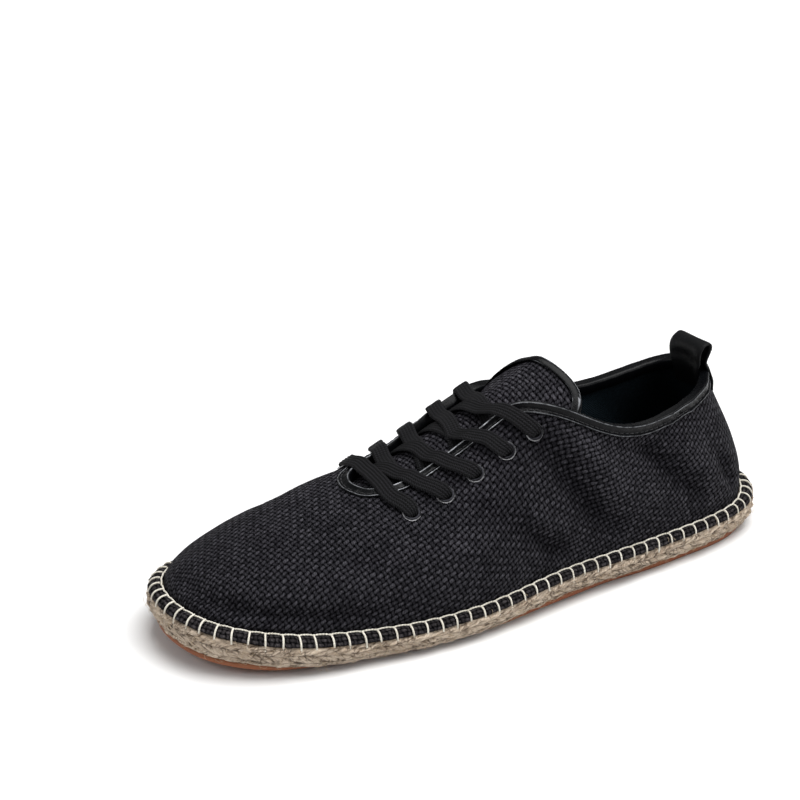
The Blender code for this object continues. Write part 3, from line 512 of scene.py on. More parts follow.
def wovenCloth(name, sizes):
    # plain weave of thick slubby yarn on the Cloth map, in metres, with painted shade in the gaps and painted
    # highlights on the yarn tops
    look, tree, shader = newMaterial(name, 0.80)
    flat = clothPoint(tree)
    split = put(tree, "ShaderNodeSeparateXYZ", {0: flat})
    drift = put(tree, "ShaderNodeTexNoise", {"Vector": flat, "Scale": 210.0, "Detail": 2.5}).outputs["Color"]
    driftSplit = put(tree, "ShaderNodeSeparateColor", {0: drift})
    axes = []
    for axis, pitch in enumerate((sizes["warpPitch"], sizes["weftPitch"])):
        shift = times(tree, calc(tree, "SUBTRACT", driftSplit.outputs[axis], 0.5), 2.0 * sizes["wander"])
        axes.append(calc(tree, "DIVIDE", calc(tree, "ADD", split.outputs[axis], shift), pitch))
    x, y = axes
    cellX, cellY = calc(tree, "FLOOR", x), calc(tree, "FLOOR", y)

    def yarn(cross, cell, run, turn, low):
        # one set of yarns: round across, dipping under every other crossing, with slanting plies
        off = calc(tree, "SUBTRACT", calc(tree, "SUBTRACT", cross, cell), 0.5)
        side = calc(tree, "POWER", calc(tree, "ABSOLUTE", times(tree, off, 2.0)), 2.2)
        side = calc(tree, "SUBTRACT", 1.0, side)
        dive = calc(tree, "SINE", times(tree, calc(tree, "ADD", run, cell), math.pi))
        slant = calc(tree, "MULTIPLY_ADD", off, 1.3, times(tree, run, 1.9))
        ply = calc(tree, "SINE", times(tree, slant, math.tau))
        return calc(tree, "ADD", times(tree, side, 0.72), calc(tree, "MULTIPLY_ADD", dive, turn, low)), ply

    weft, weftPly = yarn(y, cellY, x, 0.27, 0.03)
    warp, warpPly = yarn(x, cellX, y, -0.27, 0.0)
    height = calc(tree, "MAXIMUM", weft, warp)
    edge = remap(tree, calc(tree, "ABSOLUTE", calc(tree, "SUBTRACT", weft, warp)), 0.0, 0.26)
    onTop = calc(tree, "GREATER_THAN", weft, warp)
    ply = calc(tree, "MULTIPLY_ADD", onTop, calc(tree, "SUBTRACT", weftPly, warpPly), warpPly)
    cell = vector(tree, cellX, cellY, onTop)
    tone = put(tree, "ShaderNodeTexWhiteNoise", {"Vector": cell}, noise_dimensions="3D").outputs["Value"]
    fibre = noise(tree, flat, 1150.0, 3.0, 0.7)
    slub = noise(tree, flat, 60.0, 2.0)
    # painted shade: darker down each yarn's sides, on the yarn lying underneath and between the plies; tone and slub
    # are the yarn's own
    lit = times(tree, remap(tree, height, 0.34, 0.98), remap(tree, tone, 0.0, 1.0, 0.60, 1.25))
    lit = times(tree, lit, remap(tree, slub, 0.3, 0.7, 0.86, 1.14))
    lit = times(tree, lit, remap(tree, onTop, 0.0, 1.0, 0.72, 1.12))
    lit = times(tree, lit, remap(tree, ply, -1.0, 1.0, 0.75, 1.12))
    # painted shade in the fold troughs and painted light on the fold ridges, from the crease mark
    crease = marked(tree, "crease")
    lit = times(tree, lit, remap(tree, crease, -1.0, 1.0, 1.30, 0.50))
    # painted shade along the lines where one yarn dives under the other
    lit = times(tree, lit, remap(tree, edge, 0.0, 1.0, 0.12, 1.0), clamp=True)
    base = blendColour(tree, lit, sizes["gapShadeColour"], sizes["yarnColour"])
    # painted highlight: fibre specks on the yarn crowns lightened towards the tip colour
    paintedGlint = times(tree, remap(tree, fibre, 0.42, 0.64), calc(tree, "POWER", lit, 1.5), clamp=True)
    tree.links.new(blendColour(tree, paintedGlint, base, sizes["tipHighlightColour"]), shader.inputs["Base Color"])
    tree.links.new(times(tree, lit, 0.22), shader.inputs["Specular IOR Level"])
    relief = calc(tree, "MULTIPLY_ADD", fibre, 0.32, height)
    relief = calc(tree, "MULTIPLY_ADD", ply, 0.07, calc(tree, "MULTIPLY_ADD", tone, 0.15, relief))
    bumpInto(tree, shader, relief, sizes["relief"])
    return look


def leatherLook(name, colour, wornColour, roughness, specular, grain, relief):
    # grained leather, with painted highlight lines along its ridges
    look, tree, shader = newMaterial(name, roughness, specular)
    spot = objectPoint(tree)
    cells = remap(tree, cracks(tree, spot, grain), 0.0, 0.22)
    soft = noise(tree, spot, 900.0, 3.0)
    crease = noise(tree, spot, 160.0, 2.0)
    wear = remap(tree, noise(tree, spot, 45.0, 4.0, 0.6), 0.52, 0.80)
    ridge = marked(tree, "ridge")
    uneven = remap(tree, noise(tree, spot, 320.0, 3.0), 0.36, 0.56, 0.25, 1.0)
    # painted highlight: thin grey lines along the marked ridges, whiter where the mark passes 1
    paintedHighlight = times(tree, remap(tree, ridge, 0.45, 0.95), uneven)
    base = blendColour(tree, wear, colour, wornColour)
    brightest = remap(tree, ridge, 1.0, 2.0)
    shine = blendColour(tree, brightest, (0.155, 0.160, 0.170, 1), (0.50, 0.51, 0.54, 1))
    tree.links.new(blendColour(tree, paintedHighlight, base, shine), shader.inputs["Base Color"])
    rough = remap(tree, soft, 0.3, 0.7, roughness - 0.04, roughness + 0.06)
    tree.links.new(rough, shader.inputs["Roughness"])
    height = calc(tree, "MULTIPLY_ADD", cells, 0.30, calc(tree, "MULTIPLY_ADD", crease, 2.2, soft))
    bumpInto(tree, shader, height, relief)
    return look


def liningLook(name, colour, lighter, pitch):
    # fine twill of the lining and the insole cover
    look, tree, shader = newMaterial(name, 0.92, 0.08)
    split = put(tree, "ShaderNodeSeparateXYZ", {0: objectPoint(tree)})
    lean = calc(tree, "ADD", calc(tree, "ADD", split.outputs[0], split.outputs[1]), split.outputs[2])
    lines = calc(tree, "SINE", times(tree, lean, math.tau / pitch))
    speck = noise(tree, objectPoint(tree), 1500.0, 2.0)
    lit = remap(tree, lines, -1.0, 1.0, 0.2, 0.8)
    lit = times(tree, lit, remap(tree, speck, 0.3, 0.7, 0.5, 1.4), clamp=True)
    tree.links.new(blendColour(tree, lit, colour, lighter), shader.inputs["Base Color"])
    bumpInto(tree, shader, calc(tree, "MULTIPLY_ADD", speck, 0.6, lines), 0.00010)
    return look


def laceLook(name):
    # braided flat lace: the ribs are in the mesh, the slanting yarns are here, with painted shade between the ribs
    look, tree, shader = newMaterial(name, 0.80, 0.15)
    flat = clothPoint(tree)
    split = put(tree, "ShaderNodeSeparateXYZ", {0: flat})
    ribs = calc(tree, "PINGPONG", times(tree, split.outputs[0], 5.5), 0.5)
    slant = calc(tree, "MULTIPLY_ADD", split.outputs[1], 1.0 / 0.0011, times(tree, ribs, 1.6))
    yarn = calc(tree, "SINE", times(tree, slant, math.tau))
    fibre = noise(tree, objectPoint(tree), 3200.0, 2.0)
    lit = remap(tree, yarn, -1.0, 1.0, 0.25, 1.0)
    lit = times(tree, lit, remap(tree, fibre, 0.3, 0.7, 0.6, 1.2), clamp=True)
    # painted shade between the ribs
    lit = times(tree, lit, remap(tree, ribs, 0.05, 0.40, 0.10, 1.0))
    base = blendColour(tree, lit, (0.0005, 0.0006, 0.0008, 1), (0.0160, 0.0158, 0.0182, 1))
    tree.links.new(base, shader.inputs["Base Color"])
    bumpInto(tree, shader, calc(tree, "MULTIPLY_ADD", fibre, 0.5, yarn), 0.00012)
    return look


def juteLook(name):
    # raw braided jute: tone by strand, painted shade in the grooves, long fibres along each strand
    look, tree, shader = newMaterial(name, 0.90, 0.2, **{"Sheen Weight": 0.10})
    flat = clothPoint(tree)
    tone = marked(tree, "strandTone")
    deep = marked(tree, "groove")
    fibre = noise(tree, stretched(tree, flat, (260.0, 3400.0, 1.0)), 1.0, 4.0, 0.65)
    clump = noise(tree, stretched(tree, flat, (90.0, 900.0, 1.0)), 1.0, 2.0)
    stain = noise(tree, objectPoint(tree), 55.0, 3.0)
    light = calc(tree, "MULTIPLY_ADD", tone, 0.35, remap(tree, fibre, 0.30, 0.70, 0.0, 0.65))
    light = calc(tree, "ADD", light, remap(tree, stain, 0.35, 0.65, -0.12, 0.12), clamp=True)
    base = blendColour(tree, light, (0.255, 0.185, 0.128, 1), (0.665, 0.560, 0.445, 1))
    straw = remap(tree, clump, 0.60, 0.72)
    base = blendColour(tree, times(tree, straw, 0.5), base, (0.20, 0.125, 0.062, 1))
    patchy = remap(tree, noise(tree, objectPoint(tree), 260.0, 2.0), 0.40, 0.60, 0.15, 1.0)
    speck = noise(tree, stretched(tree, flat, (420.0, 1500.0, 1.0)), 1.0, 3.0)
    base = blendColour(tree, times(tree, remap(tree, speck, 0.39, 0.30), 0.85), base, (0.150, 0.098, 0.058, 1))
    splits = remap(tree, cracks(tree, stretched(tree, flat, (300.0, 720.0, 1.0)), 1.0), 0.13, 0.02)
    splits = times(tree, splits, remap(tree, patchy, 0.35, 0.80, 0.0, 0.75))
    base = blendColour(tree, splits, base, (0.110, 0.075, 0.048, 1))
    shade = times(tree, remap(tree, deep, 0.30, 0.90), patchy)
    tree.links.new(blendColour(tree, shade, base, (0.090, 0.056, 0.032, 1)), shader.inputs["Base Color"])
    height = calc(tree, "MULTIPLY_ADD", splits, -0.8, calc(tree, "MULTIPLY_ADD", clump, 1.2, fibre))
    bumpInto(tree, shader, height, 0.00045)
    return look


def threadLook(name, colour, darker, scale):
    # twisted cotton thread
    look, tree, shader = newMaterial(name, 0.78, 0.3, **{"Sheen Weight": 0.10})
    spot = objectPoint(tree)
    ply = noise(tree, spot, scale, 2.0)
    patch = noise(tree, spot, 70.0, 2.0)
    lit = calc(tree, "MULTIPLY_ADD", remap(tree, ply, 0.3, 0.7), 0.6, remap(tree, patch, 0.3, 0.7, 0.0, 0.4))
    tree.links.new(blendColour(tree, lit, darker, colour), shader.inputs["Base Color"])
    bumpInto(tree, shader, ply, 0.00018)
    return look


def crepeLook(name):
    # natural crepe rubber: warm orange brown, finely wrinkled, scuffed on the ground side
    look, tree, shader = newMaterial(name, 0.62, 0.4)
    spot = objectPoint(tree)
    wrinkle = put(tree, "ShaderNodeTexVoronoi", {"Vector": spot, "Scale": 420.0}, feature="SMOOTH_F1").outputs[0]
    cloud = noise(tree, spot, 40.0, 4.0, 0.6)
    scuff = remap(tree, noise(tree, objectPoint(tree, (1.0, 0.35, 1.0)), 160.0, 3.0), 0.55, 0.75)
    base = blendColour(tree, cloud, (0.175, 0.052, 0.019, 1), (0.310, 0.108, 0.044, 1))
    base = blendColour(tree, times(tree, scuff, 0.35), base, (0.28, 0.15, 0.085, 1))
    tree.links.new(base, shader.inputs["Base Color"])
    bumpInto(tree, shader, calc(tree, "MULTIPLY_ADD", cloud, 0.6, wrinkle), 0.00040)
    return look


def eyeletLook(name):
    # dark plated brass, with a painted highlight on the rim
    look, tree, shader = newMaterial(name, 0.34, 0.5, **{"Metallic": 1.0})
    paintedHighlight = marked(tree, "rimWear")
    patch = noise(tree, objectPoint(tree), 900.0, 3.0)
    lit = times(tree, paintedHighlight, remap(tree, patch, 0.30, 0.62, 0.35, 1.0), clamp=True)
    base = blendColour(tree, lit, (0.012, 0.012, 0.014, 1), (0.70, 0.70, 0.72, 1))
    tree.links.new(base, shader.inputs["Base Color"])
    tree.links.new(remap(tree, patch, 0.3, 0.7, 0.28, 0.45), shader.inputs["Roughness"])
    bumpInto(tree, shader, patch, 0.00003)
    return look


clothLook = wovenCloth("wovenCharcoalCloth", weave)
# the tongue's cloth: the same weave made lighter, as painted light on the tongue's upturned face
litTongueLook = wovenCloth("wovenTongueCloth", {
    **weave, "yarnColour": (0.0240, 0.0228, 0.0285, 1.0), "tipHighlightColour": (0.0800, 0.0765, 0.0890, 1.0),
})
weltLook = wovenCloth("wovenWeltCloth", {
    **weave, "yarnColour": (0.0200, 0.0170, 0.0185, 1.0), "tipHighlightColour": (0.0640, 0.0570, 0.0600, 1.0),
})
wornLeather = (0.0036, 0.0040, 0.0048, 1)
bindingLook = leatherLook(
    "softBlackLeather", (0.0016, 0.0018, 0.0023, 1), wornLeather, 0.26, 0.10, grain=1300.0, relief=0.00005
)
loopLook = leatherLook(
    "pullLoopLeather", (0.0012, 0.0014, 0.0018, 1), wornLeather, 0.55, 0.14, grain=1100.0, relief=0.00010
)
innerLook = liningLook("blackLining", (0.0025, 0.0055, 0.0080, 1), (0.0090, 0.0160, 0.0210, 1), 0.0009)
footbedLook = liningLook("footbedCloth", (0.006, 0.006, 0.0065, 1), (0.024, 0.023, 0.024, 1), 0.0012)
lacesLook = laceLook("blackBraidedLace")
braidLook = juteLook("rawJuteBraid")
stitchLook = threadLook("creamCottonThread", (0.76, 0.73, 0.65, 1), (0.48, 0.44, 0.36, 1), 1500.0)
seamLook = threadLook("blackSeamThread", (0.020, 0.020, 0.022, 1), (0.006, 0.006, 0.007, 1), 1500.0)
rubberLook = crepeLook("crepeRubber")
metalLook = eyeletLook("darkPlatedEyelet")
fibreLook = threadLook("looseJuteFibre", (0.62, 0.50, 0.34, 1), (0.40, 0.29, 0.17, 1), 900.0)
print("materials made")


# geometry node helpers
def geometryTree(name, sockets):
    tree = bpy.data.node_groups.new(name, "GeometryNodeTree")
    tree.interface.new_socket("Geometry", in_out="INPUT", socket_type="NodeSocketGeometry")
    for label, kind in sockets:
        tree.interface.new_socket(label, in_out="INPUT", socket_type=kind)
    tree.interface.new_socket("Geometry", in_out="OUTPUT", socket_type="NodeSocketGeometry")
    return tree, tree.nodes.new("NodeGroupInput").outputs, tree.nodes.new("NodeGroupOutput")


def closeTree(tree, out, geometry, material):
    # every tree ends in real faces, shaded smooth, with its material set
    real = put(tree, "GeometryNodeRealizeInstances", {"Geometry": geometry}).outputs[0]
    shaded = put(tree, "GeometryNodeSetShadeSmooth", {"Geometry": real}).outputs[0]
    painted = put(tree, "GeometryNodeSetMaterial", {"Geometry": shaded, "Material": material}).outputs[0]
    tree.links.new(painted, out.inputs[0])


def runTree(piece, tree, values):
    modifier = piece.modifiers.new(tree.name, "NODES")
    modifier.node_group = tree
    for item in tree.interface.items_tree:
        if item.item_type == "SOCKET" and item.in_out == "INPUT" and item.name in values:
            modifier[item.identifier] = values[item.name]
    return bakePiece(piece)


def seedPiece(name, points, edges=(), **vectors):
    # bare points, or points joined by edges, with vectors for a tree to read
    mesh = bpy.data.meshes.new(name)
    mesh.from_pydata(np.asarray(points).tolist(), list(edges), [])
    for key, data in vectors.items():
        layer = mesh.attributes.new(key, "FLOAT_VECTOR", "POINT")
        layer.data.foreach_set("vector", np.asarray(data).reshape(-1).astype("float32"))
    return newPiece(name, mesh)


def named(tree, name, kind="FLOAT_VECTOR"):
    return put(tree, "GeometryNodeInputNamedAttribute", {"Name": name}, data_type=kind).outputs["Attribute"]


def randomFloat(tree, low, high, seed):
    return put(tree, "FunctionNodeRandomValue", {2: low, 3: high, 8: seed}, data_type="FLOAT").outputs[1]


def arc(tree, resolution, start, startHandle, endHandle, end):
    return put(tree, "GeometryNodeCurvePrimitiveBezierSegment", {
        "Resolution": resolution, "Start": start, "Start Handle": startHandle, "End Handle": endHandle, "End": end,
    }, mode="POSITION").outputs[0]


def roundSection(tree, sides, radius):
    return put(tree, "GeometryNodeCurvePrimitiveCircle", {"Resolution": sides, "Radius": radius}).outputs[0]


def sweep(tree, path, section):
    inputs = {"Curve": path, "Profile Curve": section, "Fill Caps": True}
    return put(tree, "GeometryNodeCurveToMesh", inputs).outputs[0]


def faceAlong(tree, first, second):
    # the turn that lays X along one named vector and Z as near as it goes to another
    facing = put(tree, "FunctionNodeAlignRotationToVector", {"Vector": named(tree, first)}, axis="X").outputs[0]
    inputs = {"Rotation": facing, "Vector": named(tree, second)}
    return put(tree, "FunctionNodeAlignRotationToVector", inputs, axis="Z", pivot_axis="X").outputs[0]


def spinAbout(tree, turn, axis, angle):
    own = put(tree, "FunctionNodeAxisAngleToRotation", {"Axis": axis, "Angle": angle}).outputs[0]
    return put(tree, "FunctionNodeRotateRotation", {0: turn, 1: own}, rotation_space="LOCAL").outputs[0]


def copyOnto(tree, points, shape, turn, scale=(1.0, 1.0, 1.0)):
    return put(tree, "GeometryNodeInstanceOnPoints", {
        "Points": points, "Instance": shape, "Rotation": turn, "Scale": scale,
    }).outputs[0]


def stitchTree():
    # one arched thread on every point, turned outwards, with a little random lean and length
    tree, given, out = geometryTree("blanketStitches", (
        ("Start", "NodeSocketVector"), ("Start Handle", "NodeSocketVector"), ("End Handle", "NodeSocketVector"),
        ("End", "NodeSocketVector"), ("Thread Radius", "NodeSocketFloat"), ("Lean", "NodeSocketFloat"),
        ("Seed", "NodeSocketInt"), ("Thread", "NodeSocketMaterial"),
    ))
    path = arc(tree, 12, given["Start"], given["Start Handle"], given["End Handle"], given["End"])
    thread = sweep(tree, path, roundSection(tree, 7, given["Thread Radius"]))
    lean = randomFloat(tree, times(tree, given["Lean"], -1.0), given["Lean"], given["Seed"])
    turn = spinAbout(tree, faceAlong(tree, "outward", "upward"), (1.0, 0.0, 0.0), lean)
    length = randomFloat(tree, 0.88, 1.10, calc(tree, "ADD", given["Seed"], 5.0))
    reach = put(tree, "ShaderNodeSeparateXYZ", {0: named(tree, "stretch")}).outputs[0]
    many = copyOnto(tree, given["Geometry"], thread, turn, vector(tree, reach, 1.0, length))
    closeTree(tree, out, many, given["Thread"])
    return tree


def threadTree():
    # a twisted two-ply thread swept along joined edges
    tree, given, out = geometryTree("twistedThread", (
        ("Thread Radius", "NodeSocketFloat"), ("Twist Pitch", "NodeSocketFloat"), ("Thread", "NodeSocketMaterial"),
    ))
    curve = put(tree, "GeometryNodeMeshToCurve", {"Mesh": given["Geometry"]}).outputs[0]
    length = put(tree, "GeometryNodeSplineParameter").outputs["Length"]
    twist = times(tree, calc(tree, "DIVIDE", length, given["Twist Pitch"]), math.tau)
    turned = put(tree, "GeometryNodeSetCurveTilt", {"Curve": curve, "Tilt": twist}).outputs[0]
    ring = roundSection(tree, 8, given["Thread Radius"])
    oval = put(tree, "GeometryNodeTransform", {"Geometry": ring, "Scale": (1.0, 0.66, 1.0)}).outputs[0]
    closeTree(tree, out, sweep(tree, turned, oval), given["Thread"])
    return tree


def seamTree():
    # short machine stitches, one on each point, lying along its run
    tree, given, out = geometryTree("seamStitches", (
        ("Stitch Length", "NodeSocketFloat"), ("Thread Radius", "NodeSocketFloat"), ("Seed", "NodeSocketInt"),
        ("Thread", "NodeSocketMaterial"),
    ))
    front = times(tree, given["Stitch Length"], 0.5)
    back = times(tree, front, -1.0)
    sunk = times(tree, given["Thread Radius"], -1.2)
    risen = times(tree, given["Thread Radius"], 1.1)
    corners = [vector(tree, x, 0.0, z) for x, z in ((back, sunk), (back, risen), (front, risen), (front, sunk))]
    thread = sweep(tree, arc(tree, 6, *corners), roundSection(tree, 6, given["Thread Radius"]))
    length = randomFloat(tree, 0.90, 1.08, given["Seed"])
    turn = faceAlong(tree, "ahead", "upward")
    many = copyOnto(tree, given["Geometry"], thread, turn, vector(tree, length, 1.0, 1.0))
    closeTree(tree, out, many, given["Thread"])
    return tree


def fibreTree():
    # loose fibres that stand off the jute
    tree, given, out = geometryTree("looseFibres", (
        ("Density", "NodeSocketFloat"), ("Fibre Length", "NodeSocketFloat"), ("Fibre Radius", "NodeSocketFloat"),
        ("Seed", "NodeSocketInt"), ("Fibre", "NodeSocketMaterial"),
    ))
    inputs = {0: named(tree, "wall", "FLOAT"), 1: 0.5}
    chosen = put(tree, "FunctionNodeCompare", inputs, data_type="FLOAT", operation="GREATER_THAN").outputs[0]
    spread = put(tree, "GeometryNodeDistributePointsOnFaces", {
        "Mesh": given["Geometry"], "Selection": chosen, "Density": given["Density"], "Seed": given["Seed"],
    }, distribute_method="RANDOM")
    reach = given["Fibre Length"]
    handle = times(tree, reach, 0.35)
    path = arc(
        tree, 5, (0.0, 0.0, -0.0002), vector(tree, handle, 0.0, handle),
        vector(tree, reach, times(tree, reach, 0.22), handle), vector(tree, reach, handle, 0.0001),
    )
    fibre = sweep(tree, path, roundSection(tree, 3, given["Fibre Radius"]))
    angle = randomFloat(tree, 0.0, math.tau, given["Seed"])
    turn = spinAbout(tree, spread.outputs["Rotation"], (0.0, 0.0, 1.0), angle)
    scale = randomFloat(tree, 0.45, 1.25, calc(tree, "ADD", given["Seed"], 3.0))
    closeTree(tree, out, copyOnto(tree, spread.outputs["Points"], fibre, turn, scale), given["Fibre"])
    return tree


def ringTree():
    # one eyelet on every point, its bore along the point's axis
    tree, given, out = geometryTree("eyeletRings", (("Eyelet", "NodeSocketObject"), ("Metal", "NodeSocketMaterial")))
    info = put(tree, "GeometryNodeObjectInfo", {"Object": given["Eyelet"]}, transform_space="ORIGINAL")
    turn = put(tree, "FunctionNodeAlignRotationToVector", {"Vector": named(tree, "upward")}, axis="Z").outputs[0]
    many = copyOnto(tree, given["Geometry"], info.outputs["Geometry"], turn)
    closeTree(tree, out, many, given["Metal"])
    return tree


# woven upper
upperCloth = {
    "columnsPerRow": 16,
    "skinRows": 54,
    "liningRows": 12,
    "rimGap": 0.0014,
    "unevenness": 0.00010,
    "gather": 0.00022,
    "gatherReach": 0.0055,
    "heelTurn": -0.42,
    "vampTurn": -0.27,
    "foldScale": 2.4,
    "creaseShadeDepth": 0.0036,
    # polylines of row and share of the way up, depth inwards and half width in metres
    "folds": (
        (((7.6, 0.90), (6.75, 0.75), (6.25, 0.61), (5.75, 0.47), (5.2, 0.28), (4.5, 0.10)), 0.0020, 0.0066),
        (((5.9, 0.88), (5.4, 0.74), (4.9, 0.56), (4.2, 0.36)), -0.0012, 0.0080),
        (((4.35, 0.94), (3.95, 0.82), (3.45, 0.58), (3.0, 0.35), (2.45, 0.13)), 0.0015, 0.0044),
        (((3.2, 0.85), (2.8, 0.62), (2.4, 0.40), (2.0, 0.2)), -0.0009, 0.0060),
        (((1.95, 0.46), (1.8, 0.28), (1.55, 0.12)), 0.0011, 0.0036),
        (((7.95, 0.35), (7.15, 0.24), (6.4, 0.13), (5.9, 0.05)), 0.0013, 0.0042),
        (((7.6, 0.40), (6.9, 0.30), (6.2, 0.20)), -0.0007, 0.0045),
        (((10.6, 0.44), (9.7, 0.33), (9.0, 0.26)), -0.0006, 0.0040),
        (((9.6, 0.55), (9.3, 0.51), (8.55, 0.38), (7.7, 0.29)), 0.0007, 0.0050),
        (((22.1, 0.72), (22.8, 0.58), (23.5, 0.42), (24.3, 0.24), (24.9, 0.10)), 0.0019, 0.0070),
        (((24.4, 0.84), (25.0, 0.66), (25.6, 0.45)), -0.0010, 0.0075),
        (((25.6, 0.88), (26.3, 0.66), (26.9, 0.42), (27.4, 0.20)), 0.0017, 0.0060),
        (((28.3, 0.50), (28.5, 0.30), (28.7, 0.12)), 0.0010, 0.0045),
        (((20.2, 0.46), (21.2, 0.34), (22.2, 0.22)), 0.0010, 0.0055),
        (((16.4, 0.62), (17.6, 0.50), (18.8, 0.42)), 0.0006, 0.0070),
        (((13.9, 0.70), (12.9, 0.56), (12.0, 0.48)), 0.0005, 0.0070),
        (((15.1, 0.20), (14.5, 0.15), (14.0, 0.12), (13.2, 0.09), (12.2, 0.07), (11.2, 0.06)), 0.0016, 0.0050),
    ),
}


def clothMap(step=6, levels=15):
    # flat thread coordinates over the upper, in metres: the sheet is cut at the heel and each small face asks
    # its threads to run round the heel and sides and, on the vamp, along the shoe
    rows = np.arange(rowCount * step + 1) / step
    shares = np.linspace(0.0, 1.0, levels)
    grid = np.array([toWorld(upperLine(rows, share)) for share in shares])
    cols = len(rows)
    i, j = (a.ravel() for a in np.meshgrid(np.arange(levels - 1), np.arange(cols - 1), indexing="ij"))
    low, high = i * cols + j, (i + 1) * cols + j
    faces = np.vstack([np.stack([low, low + 1, high + 1], axis=1), np.stack([low, high + 1, high], axis=1)])
    points = grid.reshape(-1, 3)
    a, b, c = (points[faces[:, k]] for k in range(3))
    normal = np.cross(b - a, c - a)
    double = np.linalg.norm(normal, axis=1)[:, None]
    normal = normal / double
    ring = (grid[i, j + 1] - grid[i, j]) * np.where(rows[j] < toeRow, 1.0, -1.0)[:, None]
    ring = unit(np.vstack([ring, ring]))
    along = (centre[0] - (a + b + c)[:, 1] / 3.0) / last["soleLength"]
    share = smooth(along, 0.50, 0.70)[:, None]
    first = ring * (1.0 - share) + np.array([0.0, -1.0, 0.0]) * share
    first = unit(first - normal * (first * normal).sum(axis=1)[:, None])
    turn = upperCloth["heelTurn"] * (1.0 - share) + upperCloth["vampTurn"] * share
    first = first * np.cos(turn) + np.cross(normal, first) * np.sin(turn)
    second = np.cross(normal, first)
    slopes = [np.cross(normal, edge) / double for edge in (c - b, a - c, b - a)]
    size = len(points)
    system = np.zeros((size, size))
    wanted = np.zeros((size, 2))
    area = 0.5 * double[:, 0]
    for m in range(3):
        for column, heading in enumerate((first, second)):
            np.add.at(wanted[:, column], faces[:, m], area * (slopes[m] * heading).sum(axis=1))
        for n in range(3):
            np.add.at(system, (faces[:, m], faces[:, n]), area * (slopes[m] * slopes[n]).sum(axis=1))
    system[0, 0] += system.diagonal().mean()
    flat = np.linalg.solve(system, wanted).reshape(levels, cols, 2)

    def read(row, share):
        x = np.clip(row * step, 0.0, cols - 1.001)
        y = np.clip(share * (levels - 1), 0.0, levels - 1.001)
        j0, i0 = np.floor(x).astype(int), np.floor(y).astype(int)
        fx, fy = (x - j0)[..., None], (y - i0)[..., None]
        lower = flat[i0, j0] * (1 - fx) + flat[i0, j0 + 1] * fx
        upper = flat[i0 + 1, j0] * (1 - fx) + flat[i0 + 1, j0 + 1] * fx
        return lower * (1 - fy) + upper * fy
    return read


def foldLift(points, folds):
    # how far each point moves out of the surface for the listed soft folds
    lift = np.zeros(points.shape[:2])
    for path, depth, reach in folds:
        path = np.array(path)
        count = 6 * (len(path) - 1) + 1
        place = np.linspace(0, len(path) - 1, count)
        rows = np.interp(place, np.arange(len(path)), path[:, 0])
        shares = np.interp(place, np.arange(len(path)), path[:, 1])
        spots = toWorld(np.array([upperLine(r, s)[0] for r, s in zip(rows, shares)]))
        away = np.linalg.norm(points[:, :, None, :] - spots[None, None], axis=3)
        nearest = away.argmin(axis=2)
        fade = np.sin(math.pi * (nearest + 0.5) / count) ** 0.7
        lift -= depth * fade * np.exp(-(away.min(axis=2) / reach) ** 2)
    return lift


